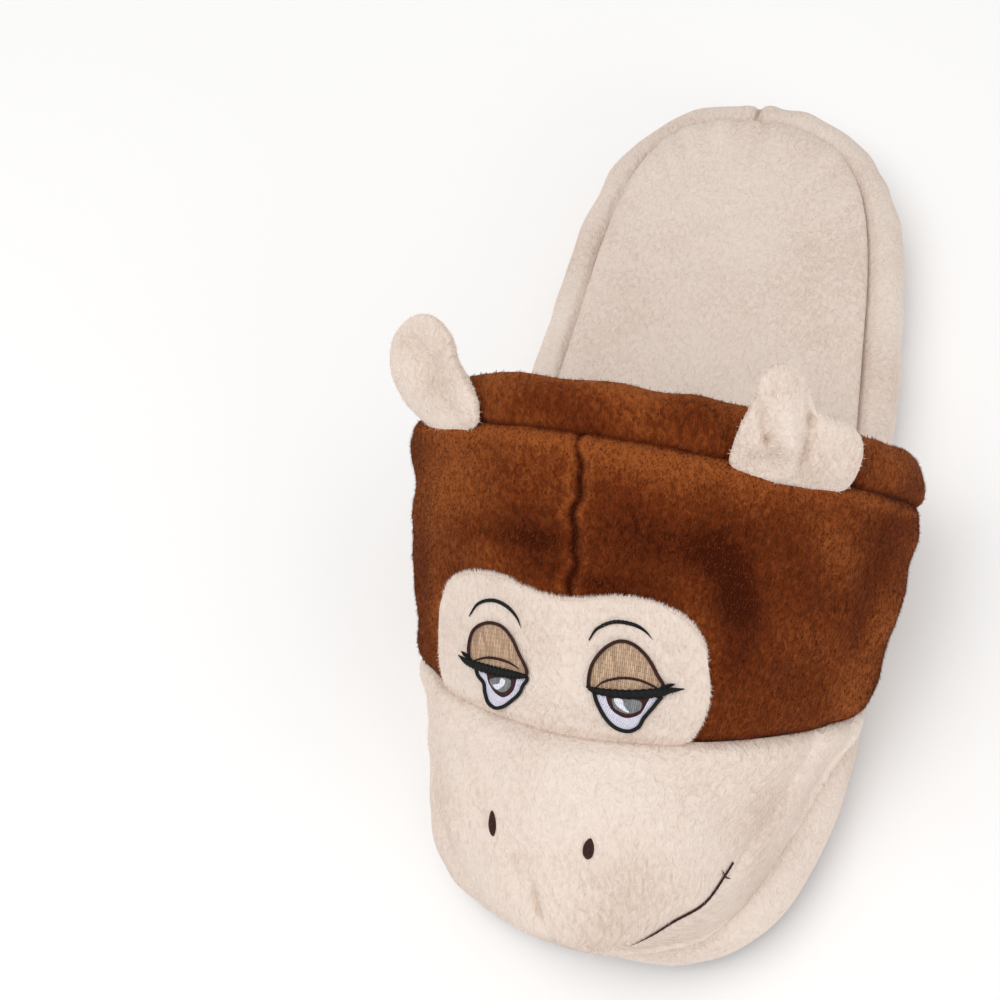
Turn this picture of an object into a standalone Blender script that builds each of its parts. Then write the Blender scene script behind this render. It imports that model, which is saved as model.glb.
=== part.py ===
"""Plush animal slipper with a sleepy face: foam sole, hollow padded upper, cuff and two ears.

Frame in metres: +X to the wearer's left, toe towards -Y, +Z up, origin on the floor at the
middle of the sole's length.
"""

import math

import bmesh
import bpy
import numpy as np

# Driving sizes of the sole
SOLE_LENGTH = 0.275
HEEL_WIDTH = 0.103
WAIST_WIDTH = 0.109
BALL_WIDTH = 0.111
LAST_BEND = 0.0055
OUTSOLE_THICKNESS = 0.0035
OUTSOLE_EDGE = 0.0009
OUTSOLE_INSET = 0.0026
TOE_SPRING = 0.004
TOE_SPRING_START = 0.055
MIDSOLE_HEIGHT = 0.0205
RIM_INSET = 0.0095
INSOLE_THICKNESS = 0.0052
BACK_SEAM_DEPTH = 0.0007
BACK_SEAM_WIDTH = 0.006

# Driving sizes of the upper
VAMP_LENGTH = 0.1022
TOE_OVERHANG = 0.0032
SIDE_BULGE = 0.0095
INSTEP_RISE = 0.0653
NOSE_RISE = 0.019
CROWN_LEAN = 0.29
MUZZLE_SHIFT = 0.006
COLLAR_SHIFT = 0.0014
COLLAR_SLOPE = 0.45
TOE_WALL = 0.006
COLLAR_WALL = 0.013
COLLAR_ROLL = 0.013
RIDGE_LIFT = 0.0012
RIDGE_WIDTH = 0.006
LEAN_BLEND = 0.004
SEAM_DEPTH = 0.0012
SEAM_WIDTH = 0.0035

# Driving sizes of the pieces sewn on
MUZZLE_THICKNESS = 0.0012
MUZZLE_PUFF = 0.0015
PATCH_THICKNESS = 0.0014
CUFF_THICKNESS = 0.0016
EAR_WIDTH = 0.033
EAR_HEIGHT = 0.026
EAR_THICKNESS = 0.0055
EAR_CUP = 0.004

# The gap that sewn pieces keep to what carries them
GAP = 0.0003

# Number of steps round and along the grids
OUTLINE_STEPS = 76
SHOWN_STEPS = 36
HIDDEN_STEPS = 8
HIDDEN_FROM = math.radians(116)
EAR_STEPS = 24
EAR_LEVELS = 13
EPSILON = 1e-3

BROWN = (0.23, 0.075, 0.022)
CREAM = (0.86, 0.76, 0.66)
SOLE_GREY = (0.16, 0.16, 0.18)

BASE_Z = OUTSOLE_THICKNESS + GAP + MIDSOLE_HEIGHT
TOE_Y = -(SOLE_LENGTH / 2 + TOE_OVERHANG)
UPPER_HALF_WIDTH = BALL_WIDTH / 2 + SIDE_BULGE

# Half widths and centre line of the sole's outline, from the toe (-1) to the heel (1)
SOLE_PLACES = (-1.0, -0.45, 0.0, 0.5, 1.0)
SOLE_WIDTHS = (BALL_WIDTH, BALL_WIDTH, WAIST_WIDTH, HEEL_WIDTH, HEEL_WIDTH)
SOLE_BEND = (0.45, 0.55, 0.20, -0.35, -1.0)
HEEL_REACH, HEEL_POWER = 0.65, 2.45
TOE_REACH, TOE_POWER = 0.70, 3.1

# Band round the foam: inset as a share of RIM_INSET, height as a share of MIDSOLE_HEIGHT
BAND_PROFILE = (
    # inset, height
    (0.36, 0.00),
    (0.10, 0.13),
    (0.00, 0.45),
    (0.06, 0.70),
    (0.22, 0.90),
    (0.52, 1.02),
    (0.82, 1.05),
    (1.00, 1.02),
    (1.10, 1.00),
)

# Padded top panel: inset as a share of RIM_INSET, height as a share of INSOLE_THICKNESS
PANEL_PROFILE = (
    # inset, height
    (1.30, 0.00),
    (1.16, 0.30),
    (1.28, 0.66),
    (1.60, 0.90),
    (2.20, 1.00),
)

# Upper along its midline: places from toe tip (0) to ridge seam (1), crown as a share of INSTEP_RISE
CROWN_PLACES = (0.0, 0.25, 0.45, 0.7, 1.0)
CROWN_RISES = (0.42, 0.59, 0.60, 0.79, 1.0)
WIDTH_PLACES = (0.0, 0.3, 0.6, 1.0)
WIDTH_SHARES = (1.0, 0.90, 0.87, 0.96)
WIDEST_AT_TOE = -0.077
WIDEST_AT_COLLAR = 0.276
KEEL = -0.225
CROWN_POWER = 2.24
KEEL_POWER = 2.4
RIGHT_TRIM, TRIM_START, TRIM_END = 0.115, 0.38, 0.68
PLAN_REACH, PLAN_POWER = 0.86, 1.87
RISE_REACH, RISE_POWER = 0.35, 2.0
WALL_START, WALL_POWER = 0.45, 1.5
SEAM_FADE = 0.06

# Seam between forehead and muzzle, and the face patch above it, in turns of the upper's rings
MUZZLE_SEAM_PLACE = 0.392
MUZZLE_SEAM_SWEEP = 0.245
PATCH_CENTRE = math.radians(-3.5)
PATCH_HALF_TURN = math.radians(35.5)
PATCH_SIDE_SWELL = math.radians(2.5)
PATCH_TOP = 0.692
PATCH_NOTCH = 0.028
PATCH_NOTCH_WIDTH = 0.25
PATCH_NOTCH_PLACE = 0.04
PATCH_CORNER = 0.55

# The cuff's strip, as angles round the padded end of the wall
CUFF_ANGLES = tuple(np.radians(np.linspace(74, -56, 8)))

# Ears: middle and half length of the root on the ridge seam, and how far each leans back
EAR_TURN = math.radians(43)
EAR_HALF_TURN = math.radians(14)
EAR_LEAN_BACK = math.radians(40)
EAR_ROOT_SHARE = 0.12
EARS = (
    # name, side, droop of the outer half, sideways shift of the tip
    ("ear_right", 1, 0.28, -0.2),
    ("ear_left", -1, 0.06, 0.16),
)


def smooth_table(places, values, at):
    """Smooth curve through a table: a cubic in each interval, with the table's own slopes."""
    places = np.asarray(places, float)
    values = np.asarray(values, float)
    slopes = np.gradient(values, places)
    at = np.clip(at, places[0], places[-1])
    k = np.clip(np.searchsorted(places, at, side="right") - 1, 0, len(places) - 2)
    step = places[k + 1] - places[k]
    t = (at - places[k]) / step
    start = (1 + 2 * t) * (1 - t) ** 2 * values[k] + t * (1 - t) ** 2 * step * slopes[k]
    end = t * t * (3 - 2 * t) * values[k + 1] + t * t * (t - 1) * step * slopes[k + 1]
    return start + end


def end_round(along, reach, power):
    """Superellipse that grows from 0 at the toe tip to 1 at `reach`."""
    rest = np.clip(1 - along / reach, 0, 1)
    return (1 - rest**power) ** (1 / power)


def unit(vectors):
    return vectors / np.linalg.norm(vectors, axis=-1, keepdims=True)


def sole_outline(inset, steps=OUTLINE_STEPS):
    """Closed outline of the sole, moved inwards by `inset`, from the middle of the heel round."""
    angle = np.linspace(0, 2 * math.pi, 1440, endpoint=False)
    place = np.cos(angle)
    half = smooth_table(SOLE_PLACES, SOLE_WIDTHS, place) / 2
    half *= end_round(1 - place, HEEL_REACH, HEEL_POWER) * end_round(1 + place, TOE_REACH, TOE_POWER)
    middle = smooth_table(SOLE_PLACES, SOLE_BEND, place) * LAST_BEND
    points = np.stack([np.sign(np.sin(angle)) * half + middle, place * SOLE_LENGTH / 2], -1)
    along = np.roll(points, -1, 0) - np.roll(points, 1, 0)
    inwards = unit(np.stack([along[:, 1], -along[:, 0]], -1))
    if (inwards * points).sum() > 0:
        inwards = -inwards
    points = points + inwards * inset
    points = np.vstack([points, points[:1]])
    length = np.concatenate([[0], np.cumsum(np.linalg.norm(np.diff(points, axis=0), axis=1))])
    wanted = np.linspace(0, length[-1], steps, endpoint=False)
    return np.stack([np.interp(wanted, length, points[:, k]) for k in (0, 1)], -1)


def toe_spring(y):
    """Height that the sole's underside gains in front of the ball."""
    start = -SOLE_LENGTH / 2 + TOE_SPRING_START
    ahead = np.clip((start - y) / TOE_SPRING_START, 0, 1)
    return TOE_SPRING * ahead**2


def sole_ring(inset, z):
    """One ring of the sole: its outline at height z, lifted by what is left of the toe spring."""
    outline = sole_outline(inset)
    lift = toe_spring(outline[:, 1]) * np.clip(1 - z / BASE_Z, 0, 1)
    return np.column_stack([outline, z + lift])


def crown_offset(along, rise):
    """Sideways place of the upper's middle: it leans with its height, at the collar only higher up."""
    rear = np.clip((along - 0.5) / 0.5, 0, 1)
    rear = rear**2 * (3 - 2 * rear)
    straight = (MUZZLE_SHIFT - COLLAR_SHIFT) / CROWN_LEAN * rear
    leaning = (rise - straight + np.hypot(rise - straight, LEAN_BLEND * rear)) / 2
    leaning = np.where(rear > 0, leaning, rise)
    return MUZZLE_SHIFT + (COLLAR_SHIFT - MUZZLE_SHIFT) * rear - CROWN_LEAN * leaning


def right_trim(along):
    """Share by which the right flank stands in from the left one, so that the band shows below it."""
    ahead = np.clip((TRIM_END - along) / (TRIM_END - TRIM_START), 0, 1)
    return RIGHT_TRIM * ahead**2 * (3 - 2 * ahead)


def upper_point(along, turn):
    """Outer form of the upper: rings round a level axis, from a pole at the toe to the ridge seam."""
    along, turn = np.broadcast_arrays(np.asarray(along, float), np.asarray(turn, float))
    half = UPPER_HALF_WIDTH * smooth_table(WIDTH_PLACES, WIDTH_SHARES, along)
    half = half * end_round(along, PLAN_REACH, PLAN_POWER)
    grown = end_round(along, RISE_REACH, RISE_POWER)
    nose = BASE_Z + NOSE_RISE
    crown = BASE_Z + INSTEP_RISE * smooth_table(CROWN_PLACES, CROWN_RISES, along)
    widest = BASE_Z + INSTEP_RISE * (WIDEST_AT_TOE + (WIDEST_AT_COLLAR - WIDEST_AT_TOE) * along)
    crown = nose + (crown - nose) * grown
    widest = nose + (widest - nose) * grown
    keel = widest + (BASE_Z + INSTEP_RISE * KEEL - widest) * grown
    across, up = np.sin(turn), np.cos(turn)
    power = 2 + (np.where(up >= 0, CROWN_POWER, KEEL_POWER) - 2) * grown
    x = half * np.sign(across) * np.abs(across) ** (2 / power)
    x = x * (1 - right_trim(along) * np.clip(across, 0, 1) ** 2)
    reach = np.where(up >= 0, crown - widest, keel - widest)
    z = widest + reach * np.abs(up) ** (2 / power)
    y = TOE_Y + VAMP_LENGTH * along + COLLAR_SLOPE * along**2 * (crown - z)
    return np.stack([x + crown_offset(along, z - BASE_Z), y, z], -1)


def upper_frame(along, turn):
    """Point of the outer form with its outward normal and its backward direction."""
    along, turn = np.broadcast_arrays(np.asarray(along, float), np.asarray(turn, float))
    ahead = np.clip(along, 4 * EPSILON, 1 - EPSILON)
    back = unit(upper_point(ahead + EPSILON, turn) - upper_point(ahead - EPSILON, turn))
    around = upper_point(ahead, turn + 8 * EPSILON) - upper_point(ahead, turn - 8 * EPSILON)
    return upper_point(along, turn), unit(np.cross(around, back)), back


def seam_groove(distance):
    """Trough of a seam, SEAM_DEPTH deep, at a signed distance from the seam's line."""
    return -SEAM_DEPTH * np.exp(-((distance / SEAM_WIDTH) ** 2))


def muzzle_seam(turn):
    """Place along the upper where forehead and muzzle are sewn together."""
    return MUZZLE_SEAM_PLACE + MUZZLE_SEAM_SWEEP * (np.abs(turn) / math.radians(100)) ** 1.5


def relief(along, turn):
    """Height of the padded face over the plain form: seam troughs and the ridge at the collar."""
    point, _, _ = upper_frame(along, turn)
    middle = crown_offset(along, point[..., 2] - BASE_Z)
    above_muzzle = np.clip((along - muzzle_seam(turn)) / SEAM_FADE, 0, 1)
    centre = seam_groove(point[..., 0] - middle) * above_muzzle * (np.abs(turn) < math.pi / 2)
    cross = seam_groove((along - muzzle_seam(turn)) * VAMP_LENGTH)
    ridge = RIDGE_LIFT * np.exp(-(((1 - along) * VAMP_LENGTH / RIDGE_WIDTH) ** 2))
    return np.minimum(centre, cross) + ridge


def skin(along, turn, lift=0.0, with_relief=True):
    """Outer form moved outwards by `lift`, with the seams pressed in."""
    point, outward, _ = upper_frame(along, turn)
    height = lift + (relief(along, turn) if with_relief else 0.0)
    return point + outward * np.asarray(height)[..., None]


def collar_roll(turn, angle, lift):
    """Padded end of the wall: a half ellipse from the ridge seam (90 deg) round to the lining (-90)."""
    ridge, outward, back = upper_frame(1.0, turn)
    behind = COLLAR_ROLL * math.cos(angle)
    depth = COLLAR_WALL / 2 * (math.sin(angle) - 1)
    over = math.cos(angle) * back + math.sin(angle) * outward
    return ridge + behind * back + depth * outward + lift * over


def ring_turns():
    """Turns round a ring: close together above the sole, wide apart below it."""
    shown = np.linspace(-HIDDEN_FROM, HIDDEN_FROM, SHOWN_STEPS + 1)
    hidden = np.linspace(HIDDEN_FROM, 2 * math.pi - HIDDEN_FROM, HIDDEN_STEPS + 1)[1:-1]
    return np.concatenate([shown, np.where(hidden > math.pi, hidden - 2 * math.pi, hidden)])


def along_places(end, round_steps, straight_steps):
    """Places from the toe tip to `end` (shares), close together where the toe is round."""
    quarter = np.linspace(0, math.pi / 2, round_steps + 1)[1:]
    front = RISE_REACH * (1 - np.cos(quarter))
    rear = np.linspace(RISE_REACH, 1, straight_steps + 1)[1:]
    return np.concatenate([front, rear]) * end


def stack_mesh(name, rings, start, end):
    """Closed mesh of rings that follow each other. Each end is a `ladder`, `point` or `join`."""
    count = len(rings[0])
    points = [tuple(p) for ring in rings for p in ring]
    faces = []
    for level in range(len(rings) - 1):
        low, high = level * count, (level + 1) * count
        for k in range(count):
            n = (k + 1) % count
            faces.append((low + k, low + n, high + n, high + k))
    for kind, level, flip in ((start, 0, True), (end, len(rings) - 1, False)):
        first = level * count
        if kind == "point":
            centre = len(points)
            points.append(tuple(np.mean(rings[level], axis=0)))
            caps = [(first + k, first + (k + 1) % count, centre) for k in range(count)]
        elif kind == "ladder":
            caps = [(first, first + 1, first + count - 1)]
            for k in range(1, count // 2 - 1):
                caps.append((first + k, first + k + 1, first + count - k - 1, first + count - k))
            middle = count // 2
            caps.append((first + middle - 1, first + middle, first + middle + 1))
        else:
            last = (len(rings) - 1) * count
            if flip:
                continue
            caps = [(last + k, last + (k + 1) % count, (k + 1) % count, k) for k in range(count)]
        faces += [cap[::-1] for cap in caps] if flip else caps
    return finished_mesh(name, points, faces)


def grid_mesh(name, outer, inner):
    """Closed slab between two equal open grids of points, sewn together round their rim."""
    rows, columns = outer.shape[:2]
    points = [tuple(p) for p in np.concatenate([outer.reshape(-1, 3), inner.reshape(-1, 3)])]
    shift = rows * columns
    faces = []
    for r in range(rows - 1):
        for c in range(columns - 1):
            a = r * columns + c
            quad = (a, a + 1, a + columns + 1, a + columns)
            faces.append(quad)
            faces.append(tuple(shift + v for v in quad[::-1]))
    rim = list(range(columns))
    rim += [r * columns + columns - 1 for r in range(1, rows)]
    rim += [(rows - 1) * columns + c for c in range(columns - 2, -1, -1)]
    rim += [r * columns for r in range(rows - 2, 0, -1)]
    for a, b in zip(rim, rim[1:] + rim[:1]):
        faces.append((b, a, shift + a, shift + b))
    return finished_mesh(name, points, faces)


def finished_mesh(name, points, faces):
    """Mesh from points and faces, welded, with its faces turned outwards and shaded smooth."""
    mesh = bpy.data.meshes.new(name)
    mesh.from_pydata(points, [], faces)
    shape = bmesh.new()
    shape.from_mesh(mesh)
    bmesh.ops.remove_doubles(shape, verts=shape.verts, dist=1e-6)
    bmesh.ops.recalc_face_normals(shape, faces=shape.faces)
    shape.to_mesh(mesh)
    shape.free()
    mesh.shade_smooth()
    mesh.set_sharp_from_angle(angle=math.radians(50))
    return mesh


def plush(name, colour, roughness=0.95):
    """Principled material of one fabric, with the soft sheen of its pile."""
    material = bpy.data.materials.new(name)
    material.use_nodes = True
    shader = material.node_tree.nodes["Principled BSDF"]
    shader.inputs["Base Color"].default_value = (*colour, 1)
    shader.inputs["Roughness"].default_value = roughness
    shader.inputs["Metallic"].default_value = 0
    return material


def add_piece(mesh, material, collection):
    piece = bpy.data.objects.new(mesh.name, mesh)
    mesh.materials.append(material)
    collection.objects.link(piece)
    return piece


def add_cutter(mesh, collection):
    cutter = bpy.data.objects.new(mesh.name, mesh)
    collection.objects.link(cutter)
    cutter.hide_render = True
    cutter.display_type = "WIRE"
    return cutter


def cut(piece, cutter):
    modifier = piece.modifiers.new("clear of " + cutter.name, "BOOLEAN")
    modifier.operation = "DIFFERENCE"
    modifier.solver = "EXACT"
    modifier.object = cutter


def outsole_mesh():
    """Thin grip sole under the foam, a little smaller than the band above it."""
    levels = ((OUTSOLE_EDGE, 0.0), (0.0, OUTSOLE_EDGE), (0.0, OUTSOLE_THICKNESS))
    rings = [sole_ring(OUTSOLE_INSET + inset, z) for inset, z in levels]
    return stack_mesh("outsole", rings, "ladder", "ladder")


def band_back_seam(ring, inset):
    """Presses the band's centre-back seam into a ring of the foam's cover."""
    from_seam = np.abs(ring[:, 0] + LAST_BEND) / BACK_SEAM_WIDTH
    at_heel = ring[:, 1] > SOLE_LENGTH / 4
    pressed = BACK_SEAM_DEPTH * np.exp(-(from_seam**2)) * at_heel * (inset < RIM_INSET)
    return ring - np.column_stack([0 * pressed, pressed, 0 * pressed])


def midsole_mesh():
    """Foam sole wrapped in plush: a bulging side band that rolls over to the top panel's seam."""
    rings = []
    for inset, height in BAND_PROFILE:
        z = OUTSOLE_THICKNESS + GAP + height * MIDSOLE_HEIGHT
        rings.append(band_back_seam(sole_ring(inset * RIM_INSET, z), inset * RIM_INSET))
    return stack_mesh("midsole", rings, "ladder", "ladder")


def insole_mesh():
    """Padded plush panel on the foam, inside the band's seam."""
    rings = []
    for inset, height in PANEL_PROFILE:
        rings.append(sole_ring(inset * RIM_INSET, BASE_Z + GAP + height * INSOLE_THICKNESS))
    return stack_mesh("insole", rings, "ladder", "ladder")


def seat_mesh():
    """Room that the upper leaves for the sole: all below the seat, the band's rim and the panel."""
    wide = -2 * TOE_OVERHANG - 2 * SIDE_BULGE - 2 * COLLAR_ROLL
    rows = [(wide, -BASE_Z), (wide, BASE_Z)]
    for inset, height in BAND_PROFILE:
        z = OUTSOLE_THICKNESS + GAP + height * MIDSOLE_HEIGHT + GAP
        if z > BASE_Z + 2 * GAP:
            rows.append((inset * RIM_INSET - GAP, z))
    rows.insert(2, (rows[2][0] - RIM_INSET / 8, BASE_Z))
    for inset, height in PANEL_PROFILE[2:]:
        rows.append((inset * RIM_INSET - GAP, BASE_Z + GAP + height * INSOLE_THICKNESS + GAP))
    rings = [np.column_stack([sole_outline(inset), np.full(OUTLINE_STEPS, z)]) for inset, z in rows]
    return stack_mesh("seat_room", rings, "ladder", "ladder")


def wall_depth(along):
    """Thickness of the padded wall, which grows towards the collar."""
    behind = np.clip((along - WALL_START) / (1 - WALL_START), 0, 1)
    return TOE_WALL + (COLLAR_WALL - TOE_WALL) * behind**WALL_POWER


def upper_mesh():
    """Hollow padded upper: outer skin, rounded collar end and lining in one closed wall."""
    turn = ring_turns()
    rings = [skin(place, turn) for place in along_places(1.0, 9, 11)]
    for angle in [*CUFF_ANGLES, CUFF_ANGLES[-1] * 1.4]:
        rings.append(collar_roll(turn, angle, -CUFF_THICKNESS - GAP))
    for place in along_places(1.0, 4, 5)[::-1]:
        rings.append(skin(place, turn, -wall_depth(place), with_relief=False))
    return stack_mesh("upper", rings, "point", "point")


def muzzle_mesh():
    """Cream muzzle panel sewn over the toe, puffed up behind its seam."""
    turn = ring_turns()
    end = muzzle_seam(turn) - GAP / VAMP_LENGTH
    outer, inner = [], []
    for share in along_places(1.0, 8, 6):
        from_seam = np.clip((1 - share) / 0.3, 0, 1)
        puff = MUZZLE_PUFF * math.sin(math.pi / 2 * from_seam)
        place = share * end
        lift = GAP + MUZZLE_THICKNESS + puff
        outer.append(skin(place, turn, lift, with_relief=False))
    for share in along_places(1.0, 8, 4)[::-1]:
        inner.append(skin(share * end, turn, GAP, with_relief=False))
    return stack_mesh("muzzle", outer + inner, "point", "point")


def face_patch_mesh():
    """Cream patch round both eyes, cut from the upper's form, with rounded corners and a notch."""
    rows, columns = 9, 25
    across = np.linspace(-1, 1, columns)
    across = np.sin(across * math.pi / 2)
    grids = []
    for lift in (GAP + PATCH_THICKNESS, GAP):
        grid = []
        for up in np.linspace(0, 1, rows):
            swell = PATCH_SIDE_SWELL * math.sin(math.pi * up)
            turn = PATCH_CENTRE + across * (PATCH_HALF_TURN + swell)
            notch = PATCH_NOTCH * np.exp(-(((across - PATCH_NOTCH_PLACE) / PATCH_NOTCH_WIDTH) ** 2))
            corner = (1 - np.abs(across) ** 5) ** 0.45
            top = PATCH_CORNER + (PATCH_TOP - notch - PATCH_CORNER) * corner
            bottom = muzzle_seam(turn) + GAP / VAMP_LENGTH
            rim = 1 - np.minimum(1, 6 * np.minimum(1 - np.abs(across), 1 - up) + 0.2)
            sunk = 0.5 * PATCH_THICKNESS * rim * (lift > GAP)
            grid.append(skin(bottom + up * (top - bottom), turn, lift - sunk, with_relief=False))
        grids.append(np.array(grid))
    return grid_mesh("face_patch", grids[0], grids[1])


def cuff_mesh():
    """Brown cuff round the collar: a strip from the ridge seam over the padded end to the lining."""
    turn = ring_turns()
    rings = [collar_roll(turn, angle, 0.0) for angle in CUFF_ANGLES]
    rings += [collar_roll(turn, angle, -CUFF_THICKNESS) for angle in CUFF_ANGLES[::-1]]
    return stack_mesh("cuff", rings, "join", "join")


def collar_form_mesh(lift):
    """Closed form of the upper with its cuff, moved outwards by `lift`: room that an ear keeps."""
    turn = ring_turns()
    rings = [skin(place, turn, lift) for place in along_places(1.0, 6, 12)]
    for angle in np.radians(np.linspace(75, -60, 6)):
        rings.append(collar_roll(turn, angle, lift))
    return stack_mesh("ear_room", rings, "point", "point")


def ear_point(side, droop, skew, across, up, layer):
    """Padded ear: a round lobe on a root along the ridge seam, its outer half folded down."""
    root = upper_point(1.0, side * EAR_TURN)
    inner_end, outer_end = upper_point(1.0, side * (EAR_TURN + EAR_HALF_TURN * np.array([-1, 1])))
    sideways = unit(outer_end - inner_end)
    rise = np.array([0.0, math.sin(EAR_LEAN_BACK), math.cos(EAR_LEAN_BACK)])
    rise = unit(rise - sideways * (rise @ sideways))
    front = unit(np.cross(sideways, rise)) * side
    lobe = 0.95 + 0.05 * np.sin(math.pi * up)
    lobe = lobe * np.clip(1 - np.clip((up - 0.3) / 0.7, 0, 1) ** 2.3, 0, 1) ** 0.5
    folded = np.clip((across * lobe + 0.2) / 0.8, 0, 1)
    folded = folded**2 * (3 - 2 * folded)
    height = (up * (1 + EAR_ROOT_SHARE) - EAR_ROOT_SHARE) * EAR_HEIGHT * (1 - droop * folded)
    pad = np.clip(1 - np.abs(across) ** 2.6, 0, 1) ** 0.5 * np.clip(1 - up**6, 0, 1) ** 0.5
    pad = pad * (0.45 + 0.55 * np.sin(math.pi / 2 * np.clip(up / 0.4, 0, 1)))
    bend = EAR_CUP * (across**2 - 0.5) - droop * EAR_CUP * folded
    depth = layer * EAR_THICKNESS / 2 * pad + bend * np.sin(math.pi * np.clip(up, 0, 0.85))
    reach = (across * lobe * EAR_WIDTH / 2 + skew * EAR_WIDTH * up**1.5)[..., None] * sideways
    seam = upper_point(1.0, side * (EAR_TURN + EAR_HALF_TURN * across)) - root
    seated = ((1 - up) ** 2)[..., None]
    foot = seated * seam + (1 - seated) * reach
    return root + foot + height[..., None] * rise + depth[..., None] * front


def ear_mesh(name, side, droop, skew):
    """One ear as rings round its padding, from the root to the tip."""
    angle = np.linspace(0, 2 * math.pi, EAR_STEPS, endpoint=False)
    across = np.cos(angle)
    layer = np.sign(np.round(np.sin(angle), 6)) * np.abs(np.sin(angle)) ** 0.5
    rings = []
    for up in np.sin(np.linspace(0, math.pi / 2, EAR_LEVELS)):
        level = np.full(EAR_STEPS, min(up, 0.995))
        rings.append(ear_point(side, droop, skew, across, level, layer))
    return stack_mesh(name, rings, "point", "point")


for leftover in list(bpy.data.objects):
    bpy.data.objects.remove(leftover)

parts = bpy.data.collections.new("animal_slipper")
cutters = bpy.data.collections.new("cutters")
for collection in (parts, cutters):
    bpy.context.scene.collection.children.link(collection)

brown_plush = plush("brown_plush", BROWN)
cream_plush = plush("cream_plush", CREAM)
grip_sole = plush("grip_sole", SOLE_GREY, 0.7)

add_piece(outsole_mesh(), grip_sole, parts)
add_piece(midsole_mesh(), cream_plush, parts)
add_piece(insole_mesh(), cream_plush, parts)
seat = add_cutter(seat_mesh(), cutters)
ear_room = add_cutter(collar_form_mesh(GAP), cutters)
for mesh, material in (
    (upper_mesh(), brown_plush),
    (muzzle_mesh(), cream_plush),
    (cuff_mesh(), brown_plush),
):
    cut(add_piece(mesh, material, parts), seat)
add_piece(face_patch_mesh(), cream_plush, parts)
for name, side, droop, skew in EARS:
    cut(add_piece(ear_mesh(name, side, droop, skew), cream_plush, parts), ear_room)
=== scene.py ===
"""Plush animal slipper with a sleepy face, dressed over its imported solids.

Metres, in the frame of the solids: +X to the wearer's left, toe towards -Y, +Z up, origin on the
floor at the middle of the sole's length. Every fabric piece is a function of two shares, worked
out as whole arrays and laid over the same forms as the solids.
"""

import math

import bpy
import numpy as np
from mathutils import Matrix


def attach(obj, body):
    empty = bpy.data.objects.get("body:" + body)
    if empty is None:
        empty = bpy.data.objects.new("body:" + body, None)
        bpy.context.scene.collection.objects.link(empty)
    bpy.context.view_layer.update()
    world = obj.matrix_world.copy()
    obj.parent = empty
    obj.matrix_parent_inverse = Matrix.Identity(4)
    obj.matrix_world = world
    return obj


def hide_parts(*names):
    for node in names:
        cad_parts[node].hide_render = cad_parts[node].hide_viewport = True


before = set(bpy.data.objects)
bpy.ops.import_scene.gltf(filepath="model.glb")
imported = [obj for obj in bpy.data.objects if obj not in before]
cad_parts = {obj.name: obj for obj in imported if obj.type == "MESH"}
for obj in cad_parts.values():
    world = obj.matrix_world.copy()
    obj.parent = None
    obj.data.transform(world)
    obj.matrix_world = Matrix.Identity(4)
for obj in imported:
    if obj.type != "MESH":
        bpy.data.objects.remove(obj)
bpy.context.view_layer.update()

# Camera and room. The slipper is seen from above its toe, with the camera rolled so that the heel
# points up. The lens and the camera's place come from fitting the sole's outline to the picture.
VIEW_AROUND, VIEW_ABOVE, VIEW_ROLL = np.radians([33.61, 58.59, -20.18])
VIEW_PLACE = (0.0632, -0.1944, 0.3555)
VIEW_LENS = 49.6
SENSOR_WIDTH = 36.0
FLOOR_HALF = 3.0
FLOOR_WHITE = (0.99, 0.99, 0.99)
ROOM_LIGHT = 0.66


def view_axes():
    """Right, up and back of the camera: the level axes at that azimuth and elevation, then rolled."""
    ahead = math.cos(VIEW_ABOVE)
    back = np.array([math.sin(VIEW_AROUND) * ahead, -math.cos(VIEW_AROUND) * ahead, math.sin(VIEW_ABOVE)])
    level = np.array([math.cos(VIEW_AROUND), math.sin(VIEW_AROUND), 0.0])
    upright = np.cross(back, level)
    right = math.cos(VIEW_ROLL) * level + math.sin(VIEW_ROLL) * upright
    up = -math.sin(VIEW_ROLL) * level + math.cos(VIEW_ROLL) * upright
    return right, up, back


def facing(right, up, back, place):
    """Matrix that turns an object's own axes to these three and moves it to a place."""
    return Matrix([*np.column_stack([right, up, back, place]).tolist(), [0, 0, 0, 1]])


view_right, view_up, view_back = view_axes()
camera = bpy.data.objects.new("camera", bpy.data.cameras.new("camera"))
camera.data.lens = VIEW_LENS
camera.data.sensor_width = SENSOR_WIDTH
camera.data.clip_start = 0.01
camera.matrix_world = facing(view_right, view_up, view_back, VIEW_PLACE)
bpy.context.scene.collection.objects.link(camera)
bpy.context.scene.camera = camera
bpy.context.scene.view_settings.view_transform = "Standard"


def soft_light(name, aim, place, size, power, colour=(1, 1, 1)):
    """Square soft box at a place given along the camera's right, up and back axes, facing its aim."""
    lamp = bpy.data.lights.new(name, "AREA")
    lamp.size = size
    lamp.energy = power
    lamp.color = colour
    light = bpy.data.objects.new(name, lamp)
    spot = np.array(aim) + place[0] * view_right + place[1] * view_up + place[2] * view_back
    towards = (spot - np.array(aim)) / np.linalg.norm(spot - np.array(aim))
    side = np.cross([0.0, 0.0, 1.0], towards)
    side /= np.linalg.norm(side)
    light.matrix_world = facing(side, np.cross(towards, side), towards, spot)
    bpy.context.scene.collection.objects.link(light)


SLIPPER_MIDDLE = (0.0, -0.04, 0.04)
soft_light("key light", SLIPPER_MIDDLE, (-0.55, 0.35, 0.95), 0.8, 5.6, (1.0, 0.985, 0.965))
soft_light("fill light", SLIPPER_MIDDLE, (0.75, -0.65, 0.75), 0.9, 4.6, (1.0, 0.985, 0.98))

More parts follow.
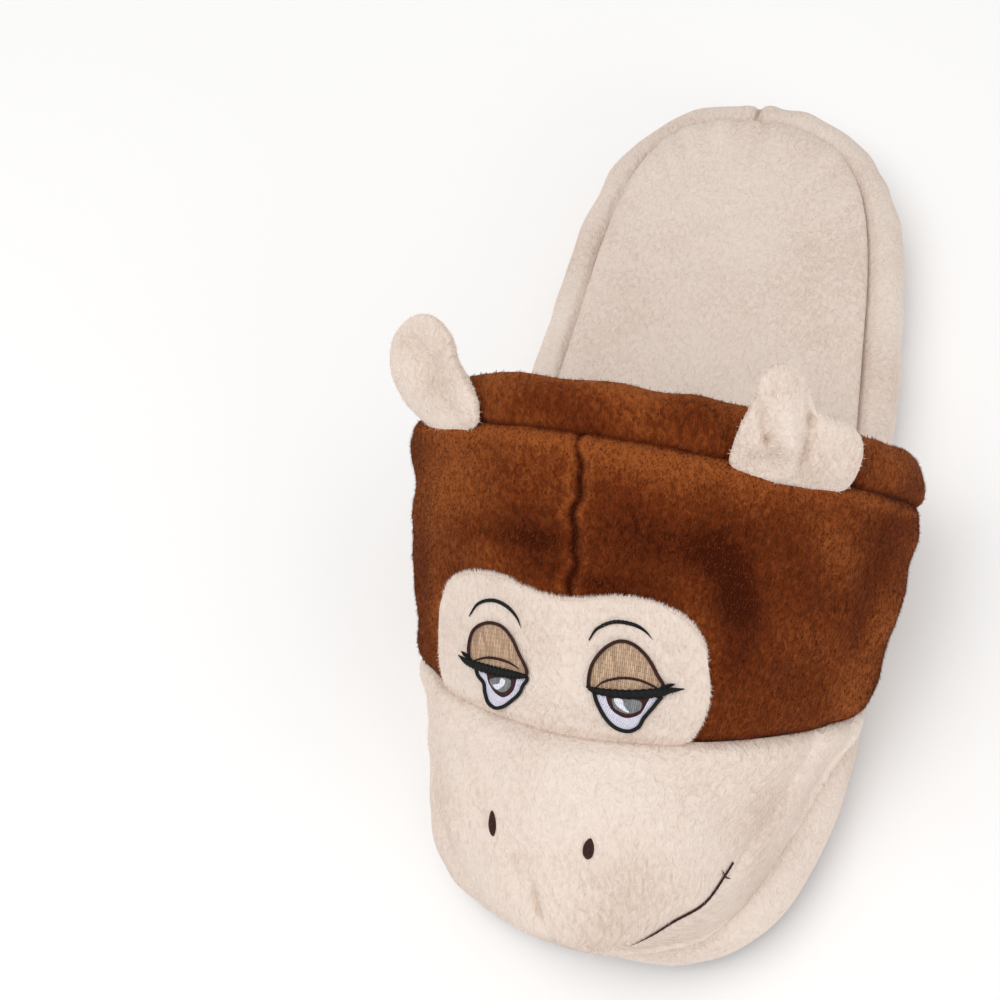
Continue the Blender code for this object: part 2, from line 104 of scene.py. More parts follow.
world = bpy.data.worlds.new("studio")
world.use_nodes = True
world.node_tree.nodes["Background"].inputs["Color"].default_value = (1, 1, 1, 1)
world.node_tree.nodes["Background"].inputs["Strength"].default_value = ROOM_LIGHT
bpy.context.scene.world = world


def matt(name, colour, roughness, specular):
    """Material of one colour."""
    material = bpy.data.materials.new(name)
    material.use_nodes = True
    shader = material.node_tree.nodes["Principled BSDF"]
    shader.inputs["Base Color"].default_value = (*colour, 1)
    shader.inputs["Roughness"].default_value = roughness
    shader.inputs["Specular IOR Level"].default_value = specular
    return material


floor_mesh = bpy.data.meshes.new("floor")
corners = [(-FLOOR_HALF, -FLOOR_HALF, 0), (FLOOR_HALF, -FLOOR_HALF, 0), (FLOOR_HALF, FLOOR_HALF, 0)]
floor_mesh.from_pydata([*corners, (-FLOOR_HALF, FLOOR_HALF, 0)], [], [(0, 1, 2, 3)])
floor = bpy.data.objects.new("floor", floor_mesh)
floor_mesh.materials.append(matt("pale floor", FLOOR_WHITE, 0.9, 0.0))
bpy.context.scene.collection.objects.link(floor)

# Grip sole: a thin dark moulded sheet glued under the foam, a little smaller than the band above
# it, with a raised rim and rows of round studs underneath for grip.
SOLE_LENGTH = 0.275
SOLE_PLACES = (-1.0, -0.45, 0.0, 0.5, 1.0)
SOLE_WIDTHS = (0.111, 0.111, 0.109, 0.103, 0.103)
SOLE_BEND = (0.45, 0.55, 0.20, -0.35, -1.0)
LAST_BEND = 0.0055
TOE_SPRING = 0.004
TOE_SPRING_START = 0.055
OUTSOLE_THICKNESS = 0.0035
OUTSOLE_INSET = 0.0026
MIDSOLE_HEIGHT = 0.0205
GAP = 0.0003
BASE_Z = OUTSOLE_THICKNESS + GAP + MIDSOLE_HEIGHT
STUD_PITCH = 0.0062
STUD_RADIUS = 0.0021
STUD_HEIGHT = 0.0009
STUD_SIDES = 10
STUD_MARGIN = 0.0075
SOLE_GREY = (0.060, 0.062, 0.075)
HEEL_DRAW_START, HEEL_DRAW_LENGTH = 0.085, 0.0525
HEEL_DRAW, HEEL_DRAW_INSIDE, HEEL_DROP = 0.0028, 0.45, 0.0015


def smooth_table(places, values, at):
    """Smooth curve through a table: in each interval the cubic that has the table's own slopes."""
    places = np.asarray(places, float)
    values = np.asarray(values, float)
    slopes = np.gradient(values, places)
    at = np.clip(at, places[0], places[-1])
    k = np.clip(np.searchsorted(places, at, side="right") - 1, 0, len(places) - 2)
    step = places[k + 1] - places[k]
    t = (at - places[k]) / step
    start = (1 + 2 * t) * (1 - t) ** 2 * values[k] + t * (1 - t) ** 2 * step * slopes[k]
    end = t * t * (3 - 2 * t) * values[k + 1] + t * t * (t - 1) * step * slopes[k + 1]
    return start + end


def end_round(along, reach, power):
    """Superellipse that grows from 0 at the tip to 1 at `reach`."""
    rest = np.clip(1 - along / reach, 0, 1)
    return (1 - rest**power) ** (1 / power)


def unit(vectors):
    """Vectors brought to length 1."""
    return vectors / np.maximum(np.linalg.norm(vectors, axis=-1, keepdims=True), 1e-12)


def bell(distance, width):
    """Exponential of minus the square of distance over width: 1 in the middle, soft on both sides."""
    return np.exp(-((distance / width) ** 2))


def sole_outline(inset, steps):
    """Closed outline of the sole moved inwards by `inset`, evenly spaced from the heel's middle."""
    angle = np.linspace(0, 2 * math.pi, 1440, endpoint=False)
    place = np.cos(angle)
    half = smooth_table(SOLE_PLACES, SOLE_WIDTHS, place) / 2
    half *= end_round(1 - place, 0.65, 2.45) * end_round(1 + place, 0.70, 3.1)
    middle = smooth_table(SOLE_PLACES, SOLE_BEND, place) * LAST_BEND
    points = np.stack([np.sign(np.sin(angle)) * half + middle, place * SOLE_LENGTH / 2], -1)
    along = np.roll(points, -1, 0) - np.roll(points, 1, 0)
    inwards = unit(np.stack([along[:, 1], -along[:, 0]], -1))
    if (inwards * points).sum() > 0:
        inwards = -inwards
    points = points + inwards * inset
    points = np.vstack([points, points[:1]])
    length = np.concatenate([[0], np.cumsum(np.linalg.norm(np.diff(points, axis=0), axis=1))])
    wanted = np.linspace(0, length[-1], steps, endpoint=False)
    return np.stack([np.interp(wanted, length, points[:, k]) for k in (0, 1)], -1)


def toe_spring(y):
    """Height that the sole's underside gains in front of the ball, growing as a square."""
    ahead = np.clip((-SOLE_LENGTH / 2 + TOE_SPRING_START - y) / TOE_SPRING_START, 0, 1)
    return TOE_SPRING * ahead**2


def sole_ring(inset, z, steps):
    """One ring of the sole at height z, lifted by what is left of the toe spring."""
    outline = sole_outline(inset, steps)
    lift = toe_spring(outline[:, 1]) * np.clip(1 - z / BASE_Z, 0, 1)
    return np.column_stack([outline, z + lift])


def heel_drawn_in(ring, inset):
    """Ring of the cushion at the heel, where the cover is pulled rounder and lower than the foam
    board under it: more so for rings further in."""
    behind = np.clip((ring[:, 1] - HEEL_DRAW_START) / HEEL_DRAW_LENGTH, 0, 1) ** 2
    forwards = HEEL_DRAW + HEEL_DRAW_INSIDE * max(inset, 0)
    moved = ring.copy()
    moved[:, 1] -= behind * forwards * np.clip(ring[:, 2] / BASE_Z, 0, 1)
    moved[:, 2] -= behind * HEEL_DROP * np.clip(ring[:, 2] / BASE_Z, 0, 1.1) ** 2
    return moved


def grid_faces(rows, columns, closed):
    """Quads of a grid of points. A closed grid also joins its last column to its first."""
    r = np.arange(rows - 1)[:, None]
    c = np.arange(columns if closed else columns - 1)[None, :]
    n = (c + 1) % columns
    low, high = r * columns, (r + 1) * columns
    return np.stack([low + c, low + n, high + n, high + c], -1).reshape(-1, 4)


def riding(name, mesh):
    """Object of a mesh, at the origin and fixed to the one body."""
    thing = bpy.data.objects.new(name, mesh)
    bpy.context.scene.collection.objects.link(thing)
    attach(thing, "root")
    return thing


def piece(name, points, faces, material, fabric=None, tones=None):
    """Mesh object from arrays, shaded smooth. `fabric` is the cloth's own flat place of each point
    in metres, kept as a UV map, and `tones` a shade of each point, from -1 dark to 1 light."""
    mesh = bpy.data.meshes.new(name)
    mesh.from_pydata(points.tolist(), [], [tuple(face) for face in faces])
    mesh.shade_smooth()
    if fabric is not None:
        corner = np.empty(len(mesh.loops), np.int32)
        mesh.loops.foreach_get("vertex_index", corner)
        layer = mesh.uv_layers.new(name="fabric")
        layer.data.foreach_set("uv", fabric[corner].astype(np.float32).ravel())
    if tones is not None:
        shade = mesh.attributes.new("tone", "FLOAT", "POINT")
        shade.data.foreach_set("value", tones.astype(np.float32))
    mesh.materials.append(material)
    return riding(name, mesh)


def ladder_cap(first, count, flip):
    """Faces that close a ring by joining its two sides straight across, like rungs."""
    k = np.arange(1, count // 2 - 1)
    rungs = np.stack([first + k, first + k + 1, first + count - k - 1, first + count - k], -1)
    half = first + count // 2
    ends = [(first, first + 1, first + count - 1), (half - 1, half, half + 1)]
    faces = [tuple(face) for face in rungs.tolist()] + ends
    return [face[::-1] for face in faces] if flip else faces


def wrapped(rings, upwards=True):
    """Points and faces of stacked closed rings with both ends closed. Rings that rise on the
    outside and run anticlockwise give faces that point outwards."""
    rings = np.asarray(rings)
    count = rings.shape[1]
    faces = [tuple(face) for face in grid_faces(len(rings), count, True).tolist()]
    faces += ladder_cap(0, count, True)
    faces += ladder_cap((len(rings) - 1) * count, count, False)
    return rings.reshape(-1, 3), faces if upwards else [face[::-1] for face in faces]


def anticlockwise(ring):
    """True where a ring runs anticlockwise seen from above, from the sign of its area."""
    x, y = ring[:, 0], ring[:, 1]
    return (x * np.roll(y, -1) - y * np.roll(x, -1)).sum() > 0


def bumped(material, height, strength, distance, invert=False):
    """Bump of a height socket on a material's shader."""
    nodes, links = material.node_tree.nodes, material.node_tree.links
    bump = nodes.new("ShaderNodeBump")
    bump.invert = invert
    bump.inputs["Strength"].default_value = strength
    bump.inputs["Distance"].default_value = distance
    links.new(height, bump.inputs["Height"])
    links.new(bump.outputs["Normal"], nodes["Principled BSDF"].inputs["Normal"])


def rubber(name, colour):
    """Moulded grip sole: fine matt grain from a noise bump."""
    material = matt(name, colour, 0.62, 0.5)
    nodes, links = material.node_tree.nodes, material.node_tree.links
    place = nodes.new("ShaderNodeTexCoord")
    grain = nodes.new("ShaderNodeTexNoise")
    grain.inputs["Scale"].default_value = 2600
    grain.inputs["Detail"].default_value = 3
    links.new(place.outputs["Object"], grain.inputs["Vector"])
    bumped(material, grain.outputs["Fac"], 0.5, 0.00015)
    return material


def grip_sole():
    """Rounded sheet plus a dome for each stud on a staggered lattice inside the rim. A stud is a
    ring stack: radius times the cosine and height times the sine of a quarter turn."""
    steps = 360
    sheet = STUD_HEIGHT
    levels = ((0.0042, sheet), (0.0030, 0.0004), (0.0012, 0.0), (0.0004, 0.0003), (0.0, 0.0010))
    levels += ((0.0, 0.0028), (0.0003, 0.0033), (0.0010, OUTSOLE_THICKNESS))
    rings = [sole_ring(OUTSOLE_INSET + inset, z, steps) for inset, z in levels]
    points, faces = wrapped(rings, anticlockwise(rings[0]))
    lattice = [(c + (r % 2) / 2, r) for r in np.arange(-21, 22) for c in range(-9, 10)]
    centres = np.array(lattice) * STUD_PITCH
    edge = sole_outline(OUTSOLE_INSET + STUD_MARGIN, 720)
    left = np.interp(centres[:, 1], *half_edge(edge, 1))
    right = np.interp(centres[:, 1], *half_edge(edge, -1))
    inside = (centres[:, 0] < left) & (centres[:, 0] > right)
    inside &= abs(centres[:, 1]) < edge[:, 1].max() - 0.002
    centres = centres[inside]
    rise = np.radians([0, 35, 70])
    angle = np.linspace(0, 2 * math.pi, STUD_SIDES, endpoint=False)
    out = np.cos(rise)[:, None] * STUD_RADIUS
    down = np.repeat(-np.sin(rise)[:, None] * STUD_HEIGHT, STUD_SIDES, 1)
    shape = np.stack([out * np.cos(angle), out * np.sin(angle), down], -1)
    shape = np.concatenate([shape.reshape(-1, 3), [[0, 0, -STUD_HEIGHT]]])
    base = sheet + toe_spring(centres[:, 1]) * (1 - sheet / BASE_Z)
    studs = centres[:, None, :] + shape[None, :, :2]
    depth = base[:, None] + shape[None, :, 2] + 0.00002
    studs = np.concatenate([studs, depth[..., None]], -1)
    top_ring, tip = 2 * STUD_SIDES, 3 * STUD_SIDES
    stud_faces = [tuple(face) for face in grid_faces(3, STUD_SIDES, True)[:, ::-1].tolist()]
    stud_faces += [(top_ring + (k + 1) % STUD_SIDES, top_ring + k, tip) for k in range(STUD_SIDES)]
    stud_faces += [tuple(range(STUD_SIDES))]
    for n in range(len(centres)):
        shift = len(points) + (tip + 1) * n
        faces += [tuple(corner + shift for corner in face) for face in stud_faces]
    return np.concatenate([points, studs.reshape(-1, 3)]), faces


def half_edge(edge, side):
    """Rising y and the x that goes with it, of one side of a closed outline."""
    middle = np.interp(edge[:, 1] / (SOLE_LENGTH / 2), SOLE_PLACES, SOLE_BEND) * LAST_BEND
    kept = edge[(edge[:, 0] - middle) * side > 0]
    kept = kept[np.argsort(kept[:, 1])]
    return kept[:, 1], kept[:, 0]


sole_points, sole_faces = grip_sole()
outsole = piece("grip_sole_sheet", sole_points, sole_faces, rubber("grip sole rubber", SOLE_GREY))
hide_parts("outsole")

# Side band: cream velboa wrapped round the foam, closed by one seam at the middle of the heel and
# sewn to the top panel, where the seam's pull leaves a row of small gathers.
BAND_PROFILE = (
    # inset as a share of RIM_INSET, height as a share of MIDSOLE_HEIGHT
    (0.36, 0.00),
    (0.10, 0.13),
    (0.00, 0.45),
    (0.06, 0.70),
    (0.22, 0.90),
    (0.52, 1.02),
    (0.82, 1.05),
    (1.00, 1.02),
    (1.10, 1.00),
)
RIM_INSET = 0.0095
CREAM_TONES = ((0.64, 0.50, 0.415), (0.80, 0.675, 0.59), (0.87, 0.76, 0.68))
CREAM_SHEEN = (1.0, 0.93, 0.87)
BACK_SEAM_DEPTH = 0.0011
BACK_SEAM_WIDTH = 0.0011
BAND_LUMPS = ((0.00035, 0.030, 3), (0.00018, 0.011, 4))
BAND_GATHERS = 58
GATHER_HEIGHT = 0.00035


def soft_lumps(points, size, seed, waves=22):
    """Smooth unevenness about `size` across: a sum of cosine waves in random directions."""
    draw = np.random.default_rng(seed)
    way = unit(draw.normal(size=(waves, 3))) * (2 * math.pi / size * draw.uniform(0.55, 1.3, (waves, 1)))
    shift = draw.uniform(0, 2 * math.pi, waves)
    return np.cos(points @ way.T + shift).sum(-1) * math.sqrt(2 / waves)


def uneven(points, lumps):
    """Sum of soft lumps, each given by its height, its size and its seed."""
    return sum(height * soft_lumps(points, size, seed) for height, size, seed in lumps)


def plush(name, tones, sheen, strength, sheen_weight, drifting, tuft=0.0011):
    """Velboa: short pile that lies in small wavering tufts. The tufts and the finer hairs are a
    noise bump on the cloth's own UV map; broad noise shifts the colour, as where the nap has been
    brushed the other way, and the piece's `tone` adds random tone and painted shade and light,
    darker in seams, dents and hollows and lighter on puffs and crests."""
    material = matt(name, tones[1], 0.9, 0.05)
    nodes, links = material.node_tree.nodes, material.node_tree.links
    shader = nodes["Principled BSDF"]
    shader.inputs["Sheen Weight"].default_value = sheen_weight
    shader.inputs["Sheen Roughness"].default_value = 0.45
    shader.inputs["Sheen Tint"].default_value = (*sheen, 1)
    cloth = nodes.new("ShaderNodeUVMap")
    cloth.uv_map = "fabric"
    place = nodes.new("ShaderNodeTexCoord")

    def noise(source, scale, stretch, detail, distortion=0.0):
        mapping = nodes.new("ShaderNodeMapping")
        mapping.inputs["Scale"].default_value = (scale * stretch[0], scale * stretch[1], scale)
        links.new(source, mapping.inputs["Vector"])
        texture = nodes.new("ShaderNodeTexNoise")
        texture.inputs["Scale"].default_value = 1
        texture.inputs["Detail"].default_value = detail
        texture.inputs["Distortion"].default_value = distortion
        links.new(mapping.outputs["Vector"], texture.inputs["Vector"])
        return texture.outputs["Fac"]

    def sum_of(first, first_share, second, second_share, offset=0.0):
        scaled, total = (nodes.new("ShaderNodeMath") for _ in range(2))
        for node, source, share in ((scaled, first, first_share), (total, second, second_share)):
            node.operation = "MULTIPLY_ADD"
            links.new(source, node.inputs[0])
            node.inputs[1].default_value = share
        scaled.inputs[2].default_value = offset
        links.new(scaled.outputs[0], total.inputs[2])
        return total.outputs[0]

    tufts = noise(cloth.outputs["UV"], 1 / tuft, (1.0, 0.62), 2.0, 0.9)
    hairs = noise(cloth.outputs["UV"], 3.4 / tuft, (1.0, 0.35), 2.0, 0.3)
    broad = noise(place.outputs["Object"], 1 / 0.022, (1.0, 1.0), 3.0, 0.6)
    bumped(material, sum_of(tufts, 1.0, hairs, 0.35), strength, tuft * 1.3)

    shade = nodes.new("ShaderNodeAttribute")
    shade.attribute_name = "tone"
    grain = sum_of(tufts, 0.62, hairs, 0.30, -0.46)
    # Broad noise plus the piece's tone, which holds random tone and painted shade and light.
    drift_and_shade = sum_of(broad, drifting, shade.outputs["Fac"], 0.5, 0.5 - drifting / 2)
    value = sum_of(grain, 1.0, drift_and_shade, 1.0)
    ramp = nodes.new("ShaderNodeValToRGB")
    stops = ramp.color_ramp.elements
    stops.new(0.5)
    for stop, position, tone in zip(stops, (0.18, 0.5, 0.82), tones):
        stop.position = position
        stop.color = (*tone, 1)
    links.new(value, ramp.inputs["Fac"])
    links.new(ramp.outputs["Color"], shader.inputs["Base Color"])
    return material


cream_velboa = plush("cream velboa", CREAM_TONES, CREAM_SHEEN, 0.6, sheen_weight=0.10, drifting=0.3)


def outward_of(rings):
    """Unit normals of a grid of rings, closed across, from its two directions."""
    along = np.gradient(rings, axis=0)
    around = np.roll(rings, -1, 1) - np.roll(rings, 1, 1)
    normal = unit(np.cross(around, along))
    return normal if anticlockwise(rings[0]) else -normal


def cloth_place(rings):
    """Flat place of each point of a ring stack: the length round it, and the length up the rows."""
    step = np.linalg.norm(np.diff(rings, axis=0), axis=-1).mean(1)
    up = np.concatenate([[0], np.cumsum(step)])
    widest = rings[len(rings) // 3]
    round_step = np.linalg.norm(np.roll(widest, -1, 0) - widest, axis=-1)
    around = np.concatenate([[0], np.cumsum(round_step)[:-1]])
    return np.stack(np.broadcast_arrays(around[None, :], up[:, None]), -1).reshape(-1, 2)


def profile_curve(profile, levels):
    """Insets in metres and heights as shares, on a smooth curve through a profile's rows."""
    rows, fine = np.linspace(0, 1, len(profile)), np.linspace(0, 1, levels)
    inset, height = (smooth_table(rows, column, fine) for column in zip(*profile))
    return inset * RIM_INSET, height


def side_band():
    """Rings on a smooth curve through the band's profile, then soft lumps, gathers near the top
    seam and the groove of the heel seam."""
    steps, levels = 640, 34
    fine = np.linspace(0, 1, levels)
    inset, height = profile_curve(BAND_PROFILE, levels)
    levels_z = OUTSOLE_THICKNESS + GAP + height * MIDSOLE_HEIGHT
    rings = np.array([heel_drawn_in(sole_ring(i, z, steps), i) for i, z in zip(inset, levels_z)])
    normal = outward_of(rings)
    inside = np.sin(math.pi * np.clip(fine * 1.04, 0, 1))[:, None]
    lumps = uneven(rings, BAND_LUMPS)
    turn = np.linspace(0, 2 * math.pi, steps, endpoint=False)[None, :]
    sway = turn * BAND_GATHERS + 2.2 * np.sin(turn * 9) + 1.4 * np.sin(turn * 23 + 1)
    near_seam = bell(fine - 0.86, 0.12)[:, None]
    heelwards = 0.35 + 0.65 * np.clip(rings[..., 1] / (SOLE_LENGTH / 2), 0, 1) ** 3
    gathers = GATHER_HEIGHT * np.sin(sway) * near_seam * heelwards
    from_seam = rings[..., 0] + LAST_BEND + 0.0008 * np.sin(fine * 5)[:, None]
    at_heel = (rings[..., 1] > 0.06) & (fine[:, None] > 0.02)
    groove = -BACK_SEAM_DEPTH * bell(from_seam, BACK_SEAM_WIDTH)
    puffed = 0.0005 * bell(np.abs(from_seam) - 0.004, 0.0025)
    seam = (groove + puffed) * at_heel
    moved = rings + normal * ((lumps + gathers) * inside + seam)[..., None]
    moved[..., 2] = np.maximum(moved[..., 2], OUTSOLE_THICKNESS + GAP / 2)
    # Painted shade: darker in the heel seam's groove and along the top rows, where the band turns in to meet
    # the top panel; plus random tone.
    dark = -0.8 * bell(from_seam, 0.0006) * at_heel - 0.3 * (fine[:, None] > 0.95)
    tones = dark + 0.15 * soft_lumps(rings, 0.04, 5)
    points, faces = wrapped(moved, anticlockwise(rings[0]))
    return points, faces, cloth_place(rings), tones.ravel()


band_points, band_faces, band_cloth, band_tones = side_band()
band = piece("side_band", band_points, band_faces, cream_velboa, band_cloth, band_tones)
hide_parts("midsole")

# Top panel: cream velboa over a thin pad, sewn inside the band. It crowns softly, dips to its
# seam, and gathers there round the heel.
INSOLE_THICKNESS = 0.0052
PANEL_LUMPS = ((0.00045, 0.046, 11), (0.00026, 0.017, 12))
PANEL_GATHERS = 44
PANEL_GATHER_HEIGHT = 0.00045
PANEL_CROWN = 0.0012
SPINE_LENGTH_SHARE = 0.62
PANEL_PROFILE = (
    # inset as a share of RIM_INSET, height as a share of INSOLE_THICKNESS
    (1.30, 0.00),
    (1.16, 0.30),
    (1.28, 0.66),
    (1.60, 0.90),
    (2.20, 1.00),
)


def top_panel():
    """Edge rings on a smooth curve through the panel's profile, then rings that shrink towards a
    straight spine, with broad padding lumps and radial gathers that fade inwards."""
    steps, edge_levels, inner_levels = 480, 14, 46
    inset, height = profile_curve(PANEL_PROFILE, edge_levels)
    rings = []
    for i, z in zip(inset, BASE_Z + GAP + height * INSOLE_THICKNESS):
        flat = np.column_stack([sole_outline(i, steps), np.full(steps, z)])
        rings.append(heel_drawn_in(flat, i))
    last = rings[-1]
    bend = smooth_table(SOLE_PLACES, SOLE_BEND, last[:, 1] / (SOLE_LENGTH / 2)) * LAST_BEND
    spine = np.column_stack([bend, last[:, 1] * SPINE_LENGTH_SHARE, last[:, 2]])
    for share in np.linspace(0, 0.985, inner_levels + 1)[1:]:
        rings.append(last + (spine - last) * share)
    rings = np.array(rings)
    level = np.arange(len(rings))[:, None]
    from_edge = np.clip((level - edge_levels * 0.35) / (edge_levels * 1.4), 0, 1)
    lumps = uneven(rings, PANEL_LUMPS)
    turn = np.linspace(0, 2 * math.pi, steps, endpoint=False)[None, :]
    sway = turn * PANEL_GATHERS + 2.6 * np.sin(turn * 7 + 1) + 1.2 * np.sin(turn * 19)
    near = bell(level - edge_levels * 0.75, edge_levels * 0.75)
    heelwards = np.clip((rings[..., 1] - 0.03) / 0.10, 0, 1) ** 1.5
    gathers = PANEL_GATHER_HEIGHT * np.sin(sway) * near * heelwards
    rings[..., 2] += lumps * from_edge + gathers * (level > 1)
    rings[..., 2] = np.minimum(rings[..., 2], BASE_Z + GAP + INSOLE_THICKNESS + PANEL_CROWN)
    # Painted shade: darker round the panel's edge, where it dips to its seam, and darker in the gathers'
    # troughs and lighter on their crests; plus random tone.
    tones = 0.08 * soft_lumps(rings, 0.055, 13) - 0.30 * bell(level, 6.0)
    tones = tones + 0.12 * np.sin(sway) * near * heelwards
    points, faces = wrapped(rings, anticlockwise(rings[0]))
    return points, faces, rings[..., :2].reshape(-1, 2).copy(), tones.ravel()


panel_points, panel_faces, panel_cloth, panel_tones = top_panel()
panel = piece("top_panel", panel_points, panel_faces, cream_velboa, panel_cloth, panel_tones)
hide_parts("insole")

# Forehead: two halves of brown velboa over padding, sewn together down the middle, to the muzzle
# in front and to the cuff at the ridge behind. Each seam pulls a trough and puffs what is beside it.
BALL_WIDTH = 0.111
VAMP_LENGTH = 0.1022
TOE_OVERHANG = 0.0032
SIDE_BULGE = 0.0095
INSTEP_RISE = 0.0653
NOSE_RISE = 0.019
CROWN_LEAN = 0.29
MUZZLE_SHIFT = 0.006
COLLAR_SHIFT = 0.0014
COLLAR_SLOPE = 0.45
TOE_WALL = 0.006
COLLAR_WALL = 0.013
COLLAR_ROLL = 0.013
CROWN_PLACES = (0.0, 0.25, 0.45, 0.7, 1.0)
CROWN_RISES = (0.42, 0.59, 0.60, 0.79, 1.0)
WIDTH_PLACES = (0.0, 0.3, 0.6, 1.0)
WIDTH_SHARES = (1.0, 0.90, 0.87, 0.96)
WIDEST_AT_TOE = -0.077
WIDEST_AT_COLLAR = 0.276
KEEL = -0.225
CROWN_POWER = 2.24
KEEL_POWER = 2.4
RIGHT_TRIM, TRIM_START, TRIM_END = 0.115, 0.38, 0.68
PLAN_REACH, PLAN_POWER = 0.86, 1.87
RISE_REACH, RISE_POWER = 0.35, 2.0
ALONG_STEP, TURN_STEP = 0.001, 0.008
TOE_Y = -(SOLE_LENGTH / 2 + TOE_OVERHANG)
UPPER_HALF_WIDTH = BALL_WIDTH / 2 + SIDE_BULGE
MUZZLE_SEAM_PLACE = 0.392
MUZZLE_SEAM_SWEEP = 0.245
PILE_LIFT = 0.0006
FOREHEAD_FROM_FLOOR = math.radians(112)
PATCH_CENTRE = math.radians(-3.5)
PATCH_HALF_TURN = math.radians(35.0)
PATCH_SWELL = math.radians(2.6)
PATCH_TOP = 0.692
PATCH_NOTCH, PATCH_NOTCH_WIDTH, PATCH_NOTCH_PLACE = 0.030, 0.28, 0.02
PATCH_CORNER = 0.56
PATCH_LIFT = 0.0020
BROWN_TONES = ((0.056, 0.0075, 0.0016), (0.160, 0.031, 0.0062), (0.33, 0.088, 0.020))
BROWN_SHEEN = (1.0, 0.62, 0.36)


def crown_offset(along, rise):
    """Sideways place of the upper's middle: it leans with its height, at the collar only higher up."""
    rear = np.clip((along - 0.5) / 0.5, 0, 1)
    rear = rear**2 * (3 - 2 * rear)
    straight = (MUZZLE_SHIFT - COLLAR_SHIFT) / CROWN_LEAN * rear
    leaning = (rise - straight + np.hypot(rise - straight, 0.004 * rear)) / 2
    leaning = np.where(rear > 0, leaning, rise)
    return MUZZLE_SHIFT + (COLLAR_SHIFT - MUZZLE_SHIFT) * rear - CROWN_LEAN * leaning


def right_trim(along):
    """Share by which the right flank stands in from the left one, so that the band shows below it."""
    ahead = np.clip((TRIM_END - along) / (TRIM_END - TRIM_START), 0, 1)
    return RIGHT_TRIM * ahead**2 * (3 - 2 * ahead)


def upper_point(along, turn):
    """Outer form of the upper: superelliptic rings round a level axis, from a pole at the toe tip
    (along 0) to the ridge seam (along 1). Turn 0 is the crown, plus is the wearer's left."""
    along, turn = np.broadcast_arrays(np.asarray(along, float), np.asarray(turn, float))
    half = UPPER_HALF_WIDTH * smooth_table(WIDTH_PLACES, WIDTH_SHARES, along)
    half = half * end_round(along, PLAN_REACH, PLAN_POWER)
    grown = end_round(along, RISE_REACH, RISE_POWER)
    nose = BASE_Z + NOSE_RISE
    crown = BASE_Z + INSTEP_RISE * smooth_table(CROWN_PLACES, CROWN_RISES, along)
    widest = BASE_Z + INSTEP_RISE * (WIDEST_AT_TOE + (WIDEST_AT_COLLAR - WIDEST_AT_TOE) * along)
    crown = nose + (crown - nose) * grown
    widest = nose + (widest - nose) * grown
    keel = widest + (BASE_Z + INSTEP_RISE * KEEL - widest) * grown
    across, up = np.sin(turn), np.cos(turn)
    power = 2 + (np.where(up >= 0, CROWN_POWER, KEEL_POWER) - 2) * grown
    x = half * np.sign(across) * np.abs(across) ** (2 / power)
    x = x * (1 - right_trim(along) * np.clip(across, 0, 1) ** 2)
    reach = np.where(up >= 0, crown - widest, keel - widest)
    z = widest + reach * np.abs(up) ** (2 / power)
    y = TOE_Y + VAMP_LENGTH * along + COLLAR_SLOPE * along**2 * (crown - z)
    return np.stack([x + crown_offset(along, z - BASE_Z), y, z], -1)


def upper_frame(along, turn):
    """Point of the outer form with its outward normal and its backward direction."""
    along, turn = np.broadcast_arrays(np.asarray(along, float), np.asarray(turn, float))
    ahead = np.clip(along, 4 * ALONG_STEP, 1 - ALONG_STEP)
    back = unit(upper_point(ahead + ALONG_STEP, turn) - upper_point(ahead - ALONG_STEP, turn))
    around = upper_point(ahead, turn + TURN_STEP) - upper_point(ahead, turn - TURN_STEP)
    return upper_point(along, turn), unit(np.cross(around, back)), back


def on_upper(along, turn, lift):
    """Point that stands `lift` off the outer form."""
    point, outward, _ = upper_frame(along, turn)
    return point + outward * np.asarray(lift)[..., None]


def muzzle_seam(turn):
    """Place along the upper where forehead and muzzle are sewn together."""
    return MUZZLE_SEAM_PLACE + MUZZLE_SEAM_SWEEP * (np.abs(turn) / math.radians(100)) ** 1.5


def bump_at(along, turn, middle, reach):
    """Round bump of height 1: the exponential of minus the squared distance in two directions.
    `middle` is (along, degrees), `reach` the same."""
    aside = (np.degrees(turn) - middle[1]) / reach[1]
    ahead = (along - middle[0]) / reach[0]
    return np.exp(-(aside**2) - ahead**2)


def seam_pull(distance, depth, width, puff):
    """Trough of a seam at a signed distance, with the padding swelling up on both sides, all in
    metres."""
    away = np.abs(distance)
    return puff * bell(away - 4.2 * width, 2.6 * width) - depth * bell(away, width)


FOREHEAD_LUMPS = ((0.00022, 0.012, 21), (0.0003, 0.026, 22))
PADDING_DEPTH = 0.0016
# Each seam's depth, width and the height of the puff beside it.
CENTRE_SEAM = (0.0011, 0.0010, 0.0004)
CROSS_SEAM = (0.0012, 0.0011, 0.0007)
RIDGE_SEAM = (0.0018, 0.0012, 0.0008)
FOREHEAD_DENTS = (
    # along, degrees, reach along, reach degrees, height in metres
    (0.775, -13.0, 0.030, 11.0, -0.0012),
    (0.730, -20.0, 0.020, 9.0, 0.0006),
    (0.800, 29.0, 0.060, 10.0, -0.0010),
    (0.735, 38.0, 0.035, 9.0, -0.0008),
    (0.860, 52.0, 0.070, 8.0, 0.0008),
    (0.900, 68.0, 0.100, 4.5, -0.0009),
    (0.780, 76.0, 0.100, 4.0, -0.0009),
    (0.740, 88.0, 0.120, 4.5, 0.0009),
    (0.640, 58.0, 0.030, 12.0, -0.0006),
    (0.880, -38.0, 0.050, 7.0, -0.0008),
    (0.780, -52.0, 0.090, 6.0, -0.0008),
    (0.950, 12.0, 0.030, 16.0, 0.0005),
)
